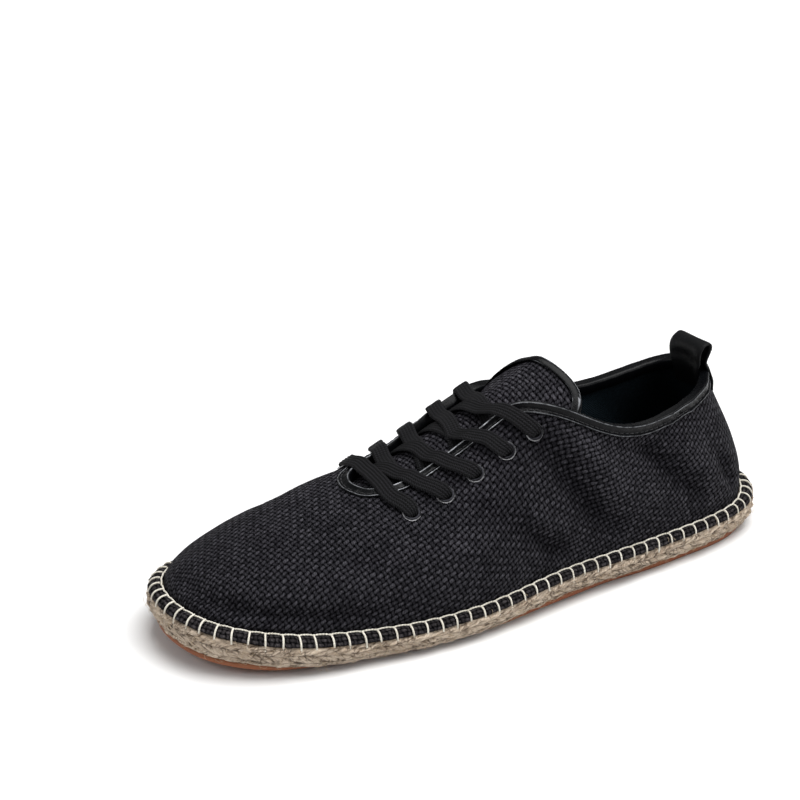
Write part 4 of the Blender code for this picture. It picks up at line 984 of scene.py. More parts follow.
def makeUpper():
    step = upperCloth["columnsPerRow"]
    rowsUv = np.arange(rowCount * step + 1) / step
    rows = rowsUv[:-1]
    top = shareAtDepth(rows, upperCloth["rimGap"])
    levels = np.linspace(0.0, 1.0, upperCloth["skinRows"])
    shares = levels[:, None] * top[None, :]
    skin = toWorld(np.array([upperLine(rows, share) for share in shares]))
    normal = gridNormals(skin)
    if (normal[0, :, :2] * (skin[0, :, :2])).sum() < 0.0:
        normal = -normal
    climbed = runAlong(skin)
    below = climbed[-1] - climbed
    places = rowPlace(rows)
    free = smooth(climbed, 0.001, 0.009) * smooth(below, 0.0035, 0.011)
    lift = upperCloth["foldScale"] * foldLift(skin, upperCloth["folds"]) * free
    # crease mark: how deep each point lies in a fold trough, for painted shade on the cloth
    crease = np.clip(-lift / upperCloth["creaseShadeDepth"], -1.0, 1.0)
    ripple = waves(places, perimeter, 9, 11)[None] * smooth(climbed, 0.0, 0.02)
    ripple = ripple + 0.6 * waves(places[None] + 1.7 * climbed, perimeter, 14, 23)
    lift = lift + upperCloth["unevenness"] * ripple * free
    pitch = perimeter / weltBand["stitchCount"]
    gather = np.abs(np.cos(math.pi * places / pitch)) ** 1.5
    lift = lift - upperCloth["gather"] * gather[None] * np.exp(-(climbed / upperCloth["gatherReach"]) ** 2)
    skin = skin + normal * lift[..., None]
    foot = skin[0].copy()
    foot[:, 2] -= last["weltWall"] + 2.0 * last["gap"]
    inside = np.linspace(1.0, 0.0, upperCloth["liningRows"])
    pick = np.round(inside * (len(levels) - 1)).astype(int)
    lining = skin[pick] - normal[pick] * last["clothWall"]
    liningFoot = foot - normal[0] * last["clothWall"]
    grid = np.concatenate([foot[None], skin, lining, liningFoot[None]])
    read = clothMap()
    topUv = np.append(top, top[0])
    uvShares = np.concatenate([[0.0], levels, inside, [0.0]])[:, None] * topUv[None]
    uv = read(np.broadcast_to(rowsUv, uvShares.shape), uvShares)
    slots = np.zeros(len(grid), dtype=int)
    slots[1 + len(levels):] = 1
    crease = np.concatenate([crease[:1], crease, crease[pick], crease[:1]])
    upper = gridMesh(
        "wovenUpper", grid, (clothLook, innerLook), across=True, uv=uv, slots=slots, values={"crease": crease}
    )
    # holes for the eyelets' barrels
    shape = bmesh.new()
    radius = eyelets["barrel"] + eyelets["holeGap"]
    for place in eyeletFrames():
        bmesh.ops.create_cone(
            shape, cap_ends=True, segments=24, radius1=radius, radius2=radius, depth=eyelets["punch"], matrix=place
        )
    mesh = bpy.data.meshes.new("punch")
    shape.to_mesh(mesh)
    shape.free()
    punch = newPiece("punch", mesh)
    holes = upper.modifiers.new("eyeletHoles", "BOOLEAN")
    holes.operation = "DIFFERENCE"
    holes.solver = "EXACT"
    holes.object = punch
    bakePiece(upper)
    bpy.data.objects.remove(punch)
    finishPiece(upper, "woven_cloth", "upper")
    return upper


# eyelets
eyelets = {
    "barrel": 0.0026,
    "holeGap": 0.00015,
    "punch": 0.012,
    # radius and height over the cloth of the rolled profile, in metres
    "profile": (
        (0.0022, -0.0018), (0.00215, 0.0002), (0.0023, 0.0006), (0.0026, 0.0009), (0.0030, 0.0010),
        (0.0034, 0.00095), (0.0037, 0.0008), (0.0039, 0.00055), (0.0040, 0.0003), (0.00395, 0.0001),
        (0.0038, 0.0000), (0.0026, 0.0000), (0.0026, -0.0018),
    ),
    # the radii between which the rim carries the painted highlight
    "rimHighlightRadii": (0.0036, 0.0040),
    "sides": 40,
}


def eyeletFrames():
    frames = []
    for row, depth in last["eyelets"]:
        for place in (row, rowCount - row):
            point, normal, upward = upperSkin(place, depth, 0.0)
            spot, axis, rise = toWorld(point)[0], turnToWorld(normal)[0], turnToWorld(upward)[0]
            side = unit(np.cross(rise, axis))
            columns = np.column_stack([side, np.cross(axis, side), axis, spot])
            frames.append(Matrix(np.vstack([columns, (0.0, 0.0, 0.0, 1.0)]).tolist()))
    return frames


def makeEyelets():
    turn = np.linspace(0.0, math.tau, eyelets["sides"], endpoint=False)
    profile = np.array(eyelets["profile"])
    radius, height = profile[:, 0:1], profile[:, 1:2]
    grid = np.stack(np.broadcast_arrays(radius * np.cos(turn), radius * np.sin(turn), height), axis=2)
    # painted highlight round the rim's outer edge, on its raised part only
    wear = np.broadcast_to(smooth(radius, *eyelets["rimHighlightRadii"]) * (height > 0.0002), grid.shape[:2])
    one = gridMesh("eyeletTemplate", grid, (metalLook,), across=True, values={"rimWear": wear})
    frames = eyeletFrames()
    axes = np.array([place.col[2][:3] for place in frames])
    rings = seedPiece("eyelets", np.array([place.translation[:] for place in frames]), upward=axes)
    runTree(rings, ringTree(), {"Eyelet": one, "Metal": metalLook})
    bpy.data.objects.remove(one)
    names = [f"eyelet_{side}_{n}" for side in ("out", "in") for n in range(1, 6)]
    finishPiece(rings, "eyelet_metal", *names)


# welt, stitches and sole
weltBand = {
    "stitchCount": 97,
    "columnsPerStitch": 9,
    "dent": 0.00075,
    "puff": 0.00045,
    # inset from the sole's outline and height over the sole's top, in metres: from the thread line out and down
    "profile": (
        (0.0058, -0.0013), (0.0058, -0.0002), (0.0054, 0.0001), (0.0046, 0.0001), (0.0036, -0.0001),
        (0.0027, -0.0004), (0.0019, -0.0008), (0.0012, -0.0012), (0.0006, -0.0017), (0.0002, -0.0022),
        (0.0001, -0.0026), (0.0004, -0.0029), (0.0013, -0.0028), (0.0014, -0.0021), (0.0023, -0.0013),
        (0.0040, -0.0013),
    ),
    # how far each of those points takes part in the swelling: only the outer face does
    "swell": (0.0, 0.0, 0.2, 0.6, 0.9, 1.0, 1.0, 1.0, 1.0, 1.0, 0.8, 0.4, 0.0, 0.0, 0.0, 0.0),
    "threadInset": 0.0056,
    "threadLift": 0.00055,
    "threadRadius": 0.00047,
    "threadWander": 0.00012,
    "threadDip": 0.00018,
    "twistPitch": 0.0026,
    "pull": 0.00026,
    # outwards, along and up from the top of the sole's edge: the thread line, two handles, the end in the jute
    "stitchPath": ((-0.0049, 0.0, 0.0002), (-0.0018, 0.0, 0.0005), (0.0003, 0.0, -0.0011), (0.0, 0.0, -0.0047)),
    "stitchRadius": 0.00042,
    "stitchLean": 0.13,
    "stitchShift": 0.0004,
}


def makeWelt():
    count = weltBand["stitchCount"] * weltBand["columnsPerStitch"]
    places = np.arange(count) * perimeter / count
    pitch = perimeter / weltBand["stitchCount"]
    between = np.abs(np.sin(math.pi * places / pitch))
    puff = weltBand["puff"] * between ** 0.8 - weltBand["dent"] * (1.0 - between) ** 3.0
    puff = puff * (1.0 + 0.25 * waves(places, perimeter, 12, 5))
    profile = np.array(weltBand["profile"])
    tuck = weltShare(places)
    rings = []
    for (inset, height), swell in zip(profile, weltBand["swell"]):
        outShare = 0.25 + 0.75 * smooth(-height, 0.0, 0.0018)
        edge = soleEdge(places, inset * tuck - puff * swell * outShare)[0]
        lift = puff * swell * (1.0 - smooth(-height, 0.0, 0.0024))
        rings.append(np.column_stack([edge, soleTop(edge[:, 0]) + height + lift]))
    uv = crossedMap(np.arange(count + 1) * perimeter / count, runAlong(profile))
    welt = gridMesh("clothWelt", toWorld(np.array(rings)), (weltLook,), across=True, uv=uv)
    finishPiece(welt, "woven_cloth", "welt_band")


def makeThreadLine():
    # the thread line at the welt's inner edge, pulled outwards at each stitch
    count = weltBand["stitchCount"] * 10
    places = np.arange(count) * perimeter / count
    pull = np.abs(np.cos(math.pi * places * weltBand["stitchCount"] / perimeter)) ** 5.0
    inset = weltBand["threadInset"] * weltShare(places) - weltBand["pull"] * pull
    edge = soleEdge(places, inset + weltBand["threadWander"] * waves(places, perimeter, 16, 31))[0]
    height = soleTop(edge[:, 0]) + weltBand["threadLift"] - weltBand["threadDip"] * pull
    ring = [(k, (k + 1) % count) for k in range(count)]
    thread = seedPiece("stitchLine", toWorld(np.column_stack([edge, height])), ring)
    runTree(thread, threadTree(), {
        "Thread Radius": weltBand["threadRadius"], "Twist Pitch": weltBand["twistPitch"], "Thread": stitchLook,
    })
    finishPiece(thread, "jute_braid")


def makeBlanketStitches():
    # the upright stitches, over the welt and into the jute
    places = np.arange(weltBand["stitchCount"]) * perimeter / weltBand["stitchCount"]
    shift = weltBand["stitchShift"]
    draw = np.random.default_rng(7)
    edge, outward = soleEdge(places + draw.uniform(-shift, shift, len(places)), 0.0)
    spots = toWorld(np.column_stack([edge, soleTop(edge[:, 0])]))
    one, none = np.ones(len(places)), np.zeros(len(places))
    stitches = seedPiece(
        "blanketStitches", spots, outward=turnToWorld(np.column_stack([outward, none])),
        upward=np.column_stack([none, none, one]), stretch=np.column_stack([weltShare(places), one, one]),
    )
    start, startHandle, endHandle, end = weltBand["stitchPath"]
    runTree(stitches, stitchTree(), {
        "Start": start, "Start Handle": startHandle, "End Handle": endHandle, "End": end,
        "Thread Radius": weltBand["stitchRadius"], "Lean": weltBand["stitchLean"], "Seed": 4, "Thread": stitchLook,
    })
    finishPiece(stitches, "jute_braid")


# braided sole, outsole and footbed
juteSole = {
    "columns": 1472,
    "wallRows": 34,
    "outsole": 0.0025,
    "shelfRise": 0.0004,
    "shelfInset": 0.0030,
    "bottomInset": 0.0050,
    "undercut": 0.0026,
    "bulge": 0.0008,
    # braid rows from the bottom up: share of the wall they reach, lean of the strands, pitch in metres
    "rows": ((0.25, 0.9, 0.0052), (0.62, -1.1, 0.0058), (1.00, 1.1, 0.0058)),
    "strandDepth": 0.00070,
    "rowDepth": 0.00070,
    "proud": 0.0008,
    "waver": 0.00022,
    "roughness": 0.00036,
    "looseness": 0.34,
    "droop": 0.0008,
    # the thread map: height of the wall on it, and how far the strands lean on it
    "mapHeight": 0.009,
    "mapLean": 0.62,
    "fibreDensity": 90000.0,
    "fibreLength": 0.0030,
    "fibreRadius": 0.00005,
}


def braidRelief(places, level):
    # the plaited rows: relief in metres, and the tone, groove and lean of each strand
    wander = 0.035 * waves(places, perimeter, 10, 41)[None]
    edges = [0.0] + [row[0] for row in juteSole["rows"]]
    relief, tone, groove, slant = (np.zeros((len(level), len(places))) for k in range(4))
    draw = np.random.default_rng(19)
    for number, (top, lean, pitch) in enumerate(juteSole["rows"]):
        low = edges[number] + (wander if number else 0.0)
        high = top + (wander if number < len(juteSole["rows"]) - 1 else 0.0)
        across = (level - low) / (high - low)
        inside = (across >= 0.0) & (across < 1.0)
        y = 2.0 * across - 1.0
        strands = max(int(perimeter / pitch), 1)
        phase = places[None] * strands / perimeter + lean * 0.55 * y + 0.12 * np.sin(math.pi * y)
        phase = phase + juteSole["looseness"] * waves(places, perimeter, 24, 50 + number)[None]
        own = np.floor(phase).astype(int) % strands
        part = phase - np.floor(phase) - 0.5
        strand = np.sqrt(np.clip(1.0 - (2.05 * part) ** 2, 0.0, 1.0))
        crown = np.sqrt(np.clip(1.0 - y ** 2, 0.0, 1.0))
        proud = juteSole["proud"] * draw.uniform(-0.25, 0.25, strands)[own]
        height = juteSole["rowDepth"] * (crown - 1.0)
        height = height + juteSole["strandDepth"] * (strand - 1.0) * (0.5 + 0.5 * crown)
        relief = np.where(inside, height + proud * crown, relief)
        tone = np.where(inside, draw.uniform(0.0, 1.0, strands)[own], tone)
        groove = np.where(inside, 1.0 - strand * np.clip(crown * 1.4, 0.0, 1.0), groove)
        slant = np.where(inside, lean, slant)
    relief = relief + juteSole["waver"] * waves(places, perimeter, 30, 61)[None]
    return relief + juteSole["roughness"] * roughField(len(places), level[:, 0], draw), tone, groove, slant


def roughField(count, level, draw):
    # random unevenness, coarse and fine, smoothly joined round the sole
    coarse = draw.normal(0.0, 1.0, (9, count // 8))
    fine = draw.normal(0.0, 1.0, (17, count // 4))
    total = np.zeros((len(level), count))
    for field, amount in ((coarse, 1.0), (fine, 0.8)):
        knots = np.arange(field.shape[1] + 1) * count / field.shape[1]
        wide = np.array([np.interp(np.arange(count), knots, np.append(line, line[0])) for line in field])
        lines = np.linspace(0.0, 1.0, len(field))
        total += amount * np.array([np.interp(level, lines, column) for column in wide.T]).T
    return total


def juteWall(places, level, relief):
    # the wall's own section: tucked in at the foot, fullest two thirds up, with a shelf above and a lid below
    base = juteSole["outsole"] + last["gap"]
    shelf = last["weltDepth"] + last["gap"] - juteSole["shelfRise"]
    rest = 1.0 - level
    inset = juteSole["undercut"] * rest ** 3 + 3.0 * rest ** 2 * level * 0.0002
    inset = inset - 3.0 * rest * level ** 2 * 1.3 * juteSole["bulge"] + level ** 3 * 0.0001 - relief - 0.0003
    bottomEdge = soleEdge(places, juteSole["bottomInset"])[0]
    rings = [np.column_stack([bottomEdge, groundLine(bottomEdge[:, 0]) + base])]
    for up, move in zip(level[:, 0], inset):
        edge = soleEdge(places, move)[0]
        # the lowest strands hang over the outsole's edge at the ball
        share = edge[:, 0] / last["soleLength"]
        droop = juteSole["droop"] * smooth(share, 0.44, 0.64) * (1.0 - smooth(share, 0.84, 0.94))
        low = groundLine(edge[:, 0]) + base - droop * (1.0 - up) ** 3
        rings.append(np.column_stack([edge, low + up * (soleTop(edge[:, 0]) - shelf - low)]))
    shelfEdge = soleEdge(places, juteSole["shelfInset"])[0]
    rings.append(np.column_stack([shelfEdge, soleTop(shelfEdge[:, 0]) - shelf]))
    return toWorld(np.array(rings))


def makeJute():
    count = juteSole["columns"]
    around = np.arange(count + 1) * perimeter / count
    level = np.linspace(0.0, 1.0, juteSole["wallRows"])[:, None]
    relief, tone, groove, slant = braidRelief(around[:-1], level)
    grid = juteWall(around[:-1], level, relief)
    tone, groove, slant = (np.vstack([field[:1], field, field[-1:]]) for field in (tone, groove, slant))
    height = juteSole["mapHeight"] * np.concatenate([[0.0], level[:, 0], [1.0]])[:, None]
    lean = np.sign(np.append(slant, slant[:, :1], axis=1)) * juteSole["mapLean"]
    cosine, sine = np.cos(lean), np.sin(lean)
    uv = np.stack([around[None] * cosine - height * sine, around[None] * sine + height * cosine], axis=2)
    wall = np.ones_like(tone)
    wall[[0, -1]] = 0.0
    marks = {"strandTone": tone, "groove": groove, "wall": wall}
    jute = gridMesh("juteSole", grid, (braidLook,), uv=uv, caps=True, values=marks)
    # loose fibres on the wall
    fuzz = newPiece("juteFibres", jute.data.copy())
    runTree(fuzz, fibreTree(), {
        "Density": juteSole["fibreDensity"], "Fibre Length": juteSole["fibreLength"],
        "Fibre Radius": juteSole["fibreRadius"], "Seed": 12, "Fibre": fibreLook,
    })
    finishPiece(jute, "jute_braid", "midsole")
    finishPiece(fuzz, "jute_braid")


outsolePlate = {
    "columns": 360,
    # inset from the sole's outline and height over the ground, in metres
    "profile": ((0.0042, 0.0), (0.0037, 0.0002), (0.0034, 0.0007), (0.0034, 0.0024), (0.0040, 0.00265)),
    # further in behind the toe, and further still at the ball, along the sole
    "behindToe": 0.0005,
    "atBall": 0.0021,
    "waver": 0.0004,
}


def makeOutsole():
    places = np.arange(outsolePlate["columns"]) * perimeter / outsolePlate["columns"]
    along = soleEdge(places, 0.0)[0][:, 0] / last["soleLength"]
    back = outsolePlate["behindToe"] * (1.0 - smooth(along, 0.88, 0.96))
    back = back + outsolePlate["atBall"] * smooth(along, 0.46, 0.66) * (1.0 - smooth(along, 0.84, 0.92))
    back = back + outsolePlate["waver"] * waves(places, perimeter, 9, 83)
    rings = []
    for inset, height in outsolePlate["profile"]:
        edge = soleEdge(places, inset + back)[0]
        rings.append(np.column_stack([edge, groundLine(edge[:, 0]) + height]))
    plate = gridMesh("crepeOutsole", toWorld(np.array(rings)), (rubberLook,), caps=True)
    finishPiece(plate, "crepe_rubber", "outsole")


footbed = {
    "columns": 360,
    # inset from the upper's inner face and height over the sole under it, in metres
    "profile": (
        (0.0003, 0.0), (0.0, 0.0008), (0.0002, 0.0017), (0.0009, 0.0022), (0.0030, 0.00215), (0.010, 0.0019),
    ),
}


def makeInsole():
    places = np.arange(footbed["columns"]) * perimeter / footbed["columns"]
    inner = footInset(places) + last["clothWall"] + 2.0 * last["gap"]
    rings = []
    for inset, height in footbed["profile"]:
        edge = soleEdge(places, inner + inset)[0]
        rings.append(np.column_stack([edge, soleTop(edge[:, 0]) - last["weltWall"] + height]))
    bed = gridMesh("footbed", toWorld(np.array(rings)), (footbedLook,), caps=True)
    finishPiece(bed, "black_lining", "insole")


# leather trim
collarTrim = {
    "columnsPerRow": 24,
    # depth below the rim and distance out from the cloth, in metres: up the outside, over the fold, down inside
    "profile": (
        (0.0049, 0.0001), (0.0052, 0.0005), (0.0051, 0.0010), (0.0047, 0.00128), (0.0043, 0.00112),
        (0.0039, 0.00078), (0.0034, 0.00070), (0.0026, 0.00078), (0.0020, 0.00105), (0.0014, 0.00145),
        (0.0008, 0.00162), (0.0002, 0.00140), (-0.0003, 0.00090), (-0.0006, 0.0001), (-0.0006, -0.0010),
        (-0.0004, -0.0020), (0.0002, -0.0029), (0.0012, -0.0033), (0.0030, -0.0033), (0.0044, -0.0031),
        (0.0050, -0.0028), (0.0050, -0.0022), (0.0030, -0.0020), (0.0010, -0.0012), (0.0012, -0.0002),
        (0.0030, 0.0001),
    ),
    # which points of the profile carry painted highlight lines, and the rows between which those painted highlights
    # are brightest
    "ridges": (3, 10),
    "highlightFrom": (7.8, 8.8),
    "highlightTo": (12.4, 13.2),
    "pucker": 0.00014,
    "throatSlim": 0.25,
    "slimRows": (6.6, 8.2),
    # the seam near its lower edge: depth below the rim, distance out, pitch, length and thread
    "seamDepth": 0.0036,
    "seamOut": 0.00074,
    "seamPitch": 0.0026,
    "seamStitch": 0.0021,
    "seamRadius": 0.00020,
}


def makeCollar():
    step = collarTrim["columnsPerRow"]
    rows = np.arange(rowCount * step) / step
    run = runAlong(closeLoop(toWorld(upperSkin(rows, 0.0, 0.0)[0])))
    length = run[-1]
    pucker = collarTrim["pucker"] * waves(run[:-1], length, 60, 71)
    soft = collarTrim["pucker"] * waves(run[:-1], length, 20, 72)
    rings = []
    fromHeel = np.minimum(rows, rowCount - rows)
    slim = 1.0 - collarTrim["throatSlim"] * smooth(fromHeel, *collarTrim["slimRows"])
    for depth, out in collarTrim["profile"]:
        out = out * slim if out > 0.0 else out
        wave = (pucker * smooth(depth, 0.0, 0.004) + soft) * np.sign(out + 0.0009) * 0.9
        rings.append(upperSkin(rows, depth + 0.5 * soft * (depth > 0.003), out + wave)[0])
    grid = toWorld(np.array(rings))
    uv = crossedMap(run, runAlong(np.array(collarTrim["profile"])))
    # painted highlights made brightest along the throat's edges
    throatHighlight = smooth(fromHeel, *collarTrim["highlightFrom"]) * (1.0 - smooth(fromHeel, *collarTrim["highlightTo"]))
    ridge = np.zeros(grid.shape[:2])
    ridge[list(collarTrim["ridges"])] = 1.0 + throatHighlight
    trim = gridMesh("collarBinding", grid, (bindingLook,), across=True, uv=uv, values={"ridge": ridge})
    finishPiece(trim, "black_leather", "collar_binding")
    makeCollarSeam(run, np.append(rows, rowCount))


def makeCollarSeam(run, rows):
    # the stitches that hold the binding, near its lower edge
    count = int(run[-1] / collarTrim["seamPitch"])
    places = np.interp(np.arange(count) * run[-1] / count, run, rows)
    spot, normal = upperSkin(places, collarTrim["seamDepth"], collarTrim["seamOut"])[:2]
    ahead = upperSkin(places + 0.03, collarTrim["seamDepth"], collarTrim["seamOut"])[0] - spot
    seam = seedPiece("collarSeam", toWorld(spot), ahead=turnToWorld(ahead), upward=turnToWorld(normal))
    runTree(seam, seamTree(), {
        "Stitch Length": collarTrim["seamStitch"], "Thread Radius": collarTrim["seamRadius"],
        "Seed": 9, "Thread": seamLook,
    })
    finishPiece(seam, "black_leather")


def clothFromPlan(piece, turn):
    # thread map for a gently bent piece: across the shoe, and the length along its own slope
    mesh = piece.data
    points = pointsOf(piece)
    bins = np.linspace(points[:, 1].min(), points[:, 1].max(), 24)
    index = np.clip(np.digitize(points[:, 1], bins) - 1, 0, len(bins) - 2)
    top = np.array([points[index == k, 2].max() if (index == k).any() else np.nan for k in range(len(bins) - 1)])
    middle = 0.5 * (bins[1:] + bins[:-1])
    slope = np.gradient(top, middle)
    run = np.concatenate([[0.0], np.cumsum(np.sqrt(1.0 + slope ** 2) * np.diff(bins))])
    down = np.interp(points[:, 1], bins, run)
    side = points[:, 0] * 1.06
    cosine, sine = math.cos(turn), math.sin(turn)
    uv = np.stack([side * cosine - down * sine, side * sine + down * cosine], axis=1)
    loops = np.zeros(len(mesh.loops), dtype=int)
    mesh.loops.foreach_get("vertex_index", loops)
    layer = mesh.uv_layers.new(name="Cloth")
    layer.uv.foreach_set("vector", uv[loops].reshape(-1).astype("float32"))


tongueShape = {
    # the near corner of the tip is fuller and lies further back, the far edge stands a little higher
    "nearCorner": (0.0058, 0.0040, -0.0022),
    "farEdge": (-0.0015, 0.0, 0.0022),
    "clothTurn": -0.20,
    # the turns of the binding, from its side over its top, where painted highlight lines run, and how bright they
    # are
    "ridgeTurns": (0.85, 2.25),
    "ridgeReach": 0.40,
    "ridgeShine": 1.45,
}
loopShape = {
    "tilt": 0.0021,
    "open": 1.1,
    "strip": 0.0009,
    "seat": 0.0003,
    "neck": 0.068,
}
tongueTree = searchTree(nodes["tongue"].data)


def shapeTongue(piece):
    points = pointsOf(piece)
    near = smooth(points[:, 0], 0.000, 0.019) * smooth(points[:, 1], 0.004, 0.036)
    far = smooth(-points[:, 0], 0.004, 0.013) * smooth(points[:, 1], 0.008, 0.020)
    far = far * (1.0 - smooth(points[:, 1], 0.030, 0.038))
    for share, move in ((near, tongueShape["nearCorner"]), (far, tongueShape["farEdge"])):
        points += share[:, None] * np.array(move)
    movePoints(piece, points)


def markRidges(piece):
    # marks the lines where the tongue's binding turns from its top to its two sides, for painted highlight lines
    points = pointsOf(piece)
    normals = np.array([v.normal[:] for v in piece.data.vertices])
    outward = unit((points - points.mean(axis=0)) * (1.0, 1.0, 0.0))
    above = points - 0.006 * outward
    above[:, 2] = 0.2
    hits = [tongueTree.ray_cast(Vector(spot), Vector((0.0, 0.0, -1.0)))[1] for spot in above]
    up = np.array([hit[:] if hit is not None else (0.0, 0.0, 1.0) for hit in hits])
    outward = unit(outward - up * (outward * up).sum(axis=1)[:, None])
    angle = np.arctan2((normals * up).sum(axis=1), (normals * outward).sum(axis=1))
    off = np.min([np.abs(angle - turn) for turn in tongueShape["ridgeTurns"]], axis=0)
    ridge = tongueShape["ridgeShine"] * np.clip(1.0 - off / tongueShape["ridgeReach"], 0.0, 1.0)
    layer = piece.data.attributes.new("ridge", "FLOAT", "POINT")
    layer.data.foreach_set("value", ridge.astype("float32"))


def shapeLoop(loop, upper):
    # opens the loop to a drop, tips its top and lays its outer tail on the heel
    points = pointsOf(loop)
    turned = np.array([v.normal[1] for v in loop.data.vertices])
    low, high = points[:, 2].min(), points[:, 2].max()
    rise = smooth(points[:, 2], loopShape["neck"], high)
    terms = np.stack([np.ones(len(points)), points[:, 0], points[:, 0] ** 2, points[:, 2]], axis=1)
    middle = terms @ np.linalg.lstsq(terms, points[:, 1], rcond=None)[0]
    tree = searchTree(upper.data)
    lay = 1.0 - smooth(points[:, 2], low + 0.002, loopShape["neck"])
    for k, point in enumerate(points):
        if lay[k] > 0.0 and point[1] > middle[k]:
            hit = tree.ray_cast(Vector((point[0], 0.160, point[2])), Vector((0.0, -1.0, 0.0)))[0]
            if hit is not None:
                off = point[1] - hit[1] - (loopShape["strip"] if turned[k] > 0.0 else 0.0)
                point[1] -= lay[k] * (off + loopShape["seat"])
    points[:, 1] += (points[:, 1] - middle) * loopShape["open"] * rise
    left = (points[:, 0].max() - points[:, 0]) / np.ptp(points[:, 0])
    points[:, 2] -= loopShape["tilt"] * left * rise
    movePoints(loop, points)


def makeTongue(upper):
    tongue = fromNode("wovenTongue", "tongue", 3, (litTongueLook,))
    shapeTongue(tongue)
    clothFromPlan(tongue, tongueShape["clothTurn"])
    finishPiece(tongue, "woven_cloth", "tongue")
    edge = fromNode("tongueBinding", "tongue_binding", 2, (bindingLook,))
    shapeTongue(edge)
    markRidges(edge)
    finishPiece(edge, "black_leather", "tongue_binding")
    loop = fromNode("pullLoop", "pull_loop", 2, (loopLook,))
    shapeLoop(loop, upper)
    finishPiece(loop, "black_leather", "pull_loop")


# laces
laces = {
    "width": 0.0072,
    "thickness": 0.00135,
    "throatWidth": 0.0042,
    "ribs": 5,
    "ribHeight": 0.00034,
    "sections": 72,
    # how far towards the heel each crossing and the bar run over the facings, outer side and inner side
    "run": {1.0: 0.0092, -1.0: 0.0058},
    "barRun": (0.0042, 0.0020),
    # which side's strip lies on top at each crossing
    "over": {2: 1.0, 3: 1.0, 4: -1.0, 5: 1.0},
    "clearance": 0.00045,
    # out of the eyelet: height over the cloth and distance towards the throat
    "rise": ((-0.0018, -0.0012), (0.0008, -0.0005)),
    "crest": 0.0021,
    "across": 0.0060,
}


def tongueTop(along, across):
    spot = toWorld(np.array([along, across, 0.2]))
    hit = tongueTree.ray_cast(Vector(spot), Vector((0.0, 0.0, -1.0)))
    if hit[0] is None:
        hit = tongueTree.find_nearest(Vector((spot[0], spot[1], 0.07)))
    return hit[0][2]


def naturalCurve(points, shares):
    # smooth open cubic through the points
    points = np.asarray(points)
    knots = runAlong(points)
    step = np.diff(knots)
    size = len(points)
    system = np.eye(size)
    right = np.zeros(points.shape)
    for i in range(1, size - 1):
        system[i, i - 1:i + 2] = (step[i - 1], 2.0 * (step[i - 1] + step[i]), step[i])
        right[i] = 6.0 * ((points[i + 1] - points[i]) / step[i] - (points[i] - points[i - 1]) / step[i - 1])
    bend = np.linalg.solve(system, right)
    place = shares * knots[-1]
    span = np.clip(np.searchsorted(knots, place, side="right") - 1, 0, size - 2)
    width = step[span][:, None]
    high = (place - knots[span])[:, None] / width
    low = 1.0 - high
    curve = (low ** 3 - low) * bend[span] + (high ** 3 - high) * bend[span + 1]
    return low * points[span] + high * points[span + 1] + curve * width ** 2 / 6.0


def rimRowAt(along, side):
    rows = np.linspace(7.5, toeRow, 120)
    rim = upperLine(rows if side > 0 else rowCount - rows, 1.0)[:, 0]
    found = np.interp(along, rim, rows)
    return found if side > 0 else rowCount - found


def laceEnd(number, side, run):
    # from inside an eyelet, over the facing, to the crest of the throat's edge
    row, depth = last["eyelets"][number - 1]
    row = row if side > 0 else rowCount - row
    hole, normal = (found[0] for found in upperSkin(row, depth, 0.0)[:2])
    edgeRow = rimRowAt(hole[0] + run, side)
    over = laces["crest"]
    crest = upperSkin(edgeRow, -0.0008, over)[0][0]
    toward = unit(crest - hole)
    points = [hole + normal * up + toward * ahead for up, ahead in laces["rise"]]
    points.append(hole + normal * (over + 0.0002) + toward * 0.0024)
    for share in (0.55, 0.80):
        middle = row + (edgeRow - row) * share
        points.append(upperSkin(middle, depth * (1.0 - share), over)[0][0])
    points.append(crest)
    return points


def tautPoints(crest, far, lift, shares):
    # straight from the crest to the far point, kept over the tongue, lifted where strips cross
    points = []
    for share in shares:
        spot = crest + (far - crest) * share
        lowest = tongueTop(spot[0], spot[1]) + laces["clearance"] + 0.5 * laces["thickness"]
        spot[2] = max(spot[2], lowest) + lift * math.exp(-((share - 0.45) / 0.28) ** 2)
        points.append(spot)
    return points


def laceHeading():
    ends = [upperSkin(*last["eyelets"][k], 0.0)[0][0] for k in (0, -1)]
    heading = ends[0] - ends[1]
    heading[1] = 0.0
    return unit(heading)


def laceSection():
    # one closed outline of the ribbed strip: shares of the width and of the thickness, and the map across
    half = 21
    x = np.linspace(0.5, -0.5, half)
    body = 0.5 * np.clip(1.0 - np.abs(2.0 * x) ** 5, 0.0, 1.0) ** 0.5
    rib = laces["ribHeight"] / laces["thickness"] * (np.abs(np.cos(math.pi * laces["ribs"] * x)) - 0.5)
    top = body + rib * (body > 0.1)
    back = np.concatenate([x, x[1:-1][::-1]])
    return back, np.concatenate([top, -body[1:-1][::-1]]), back + 0.5


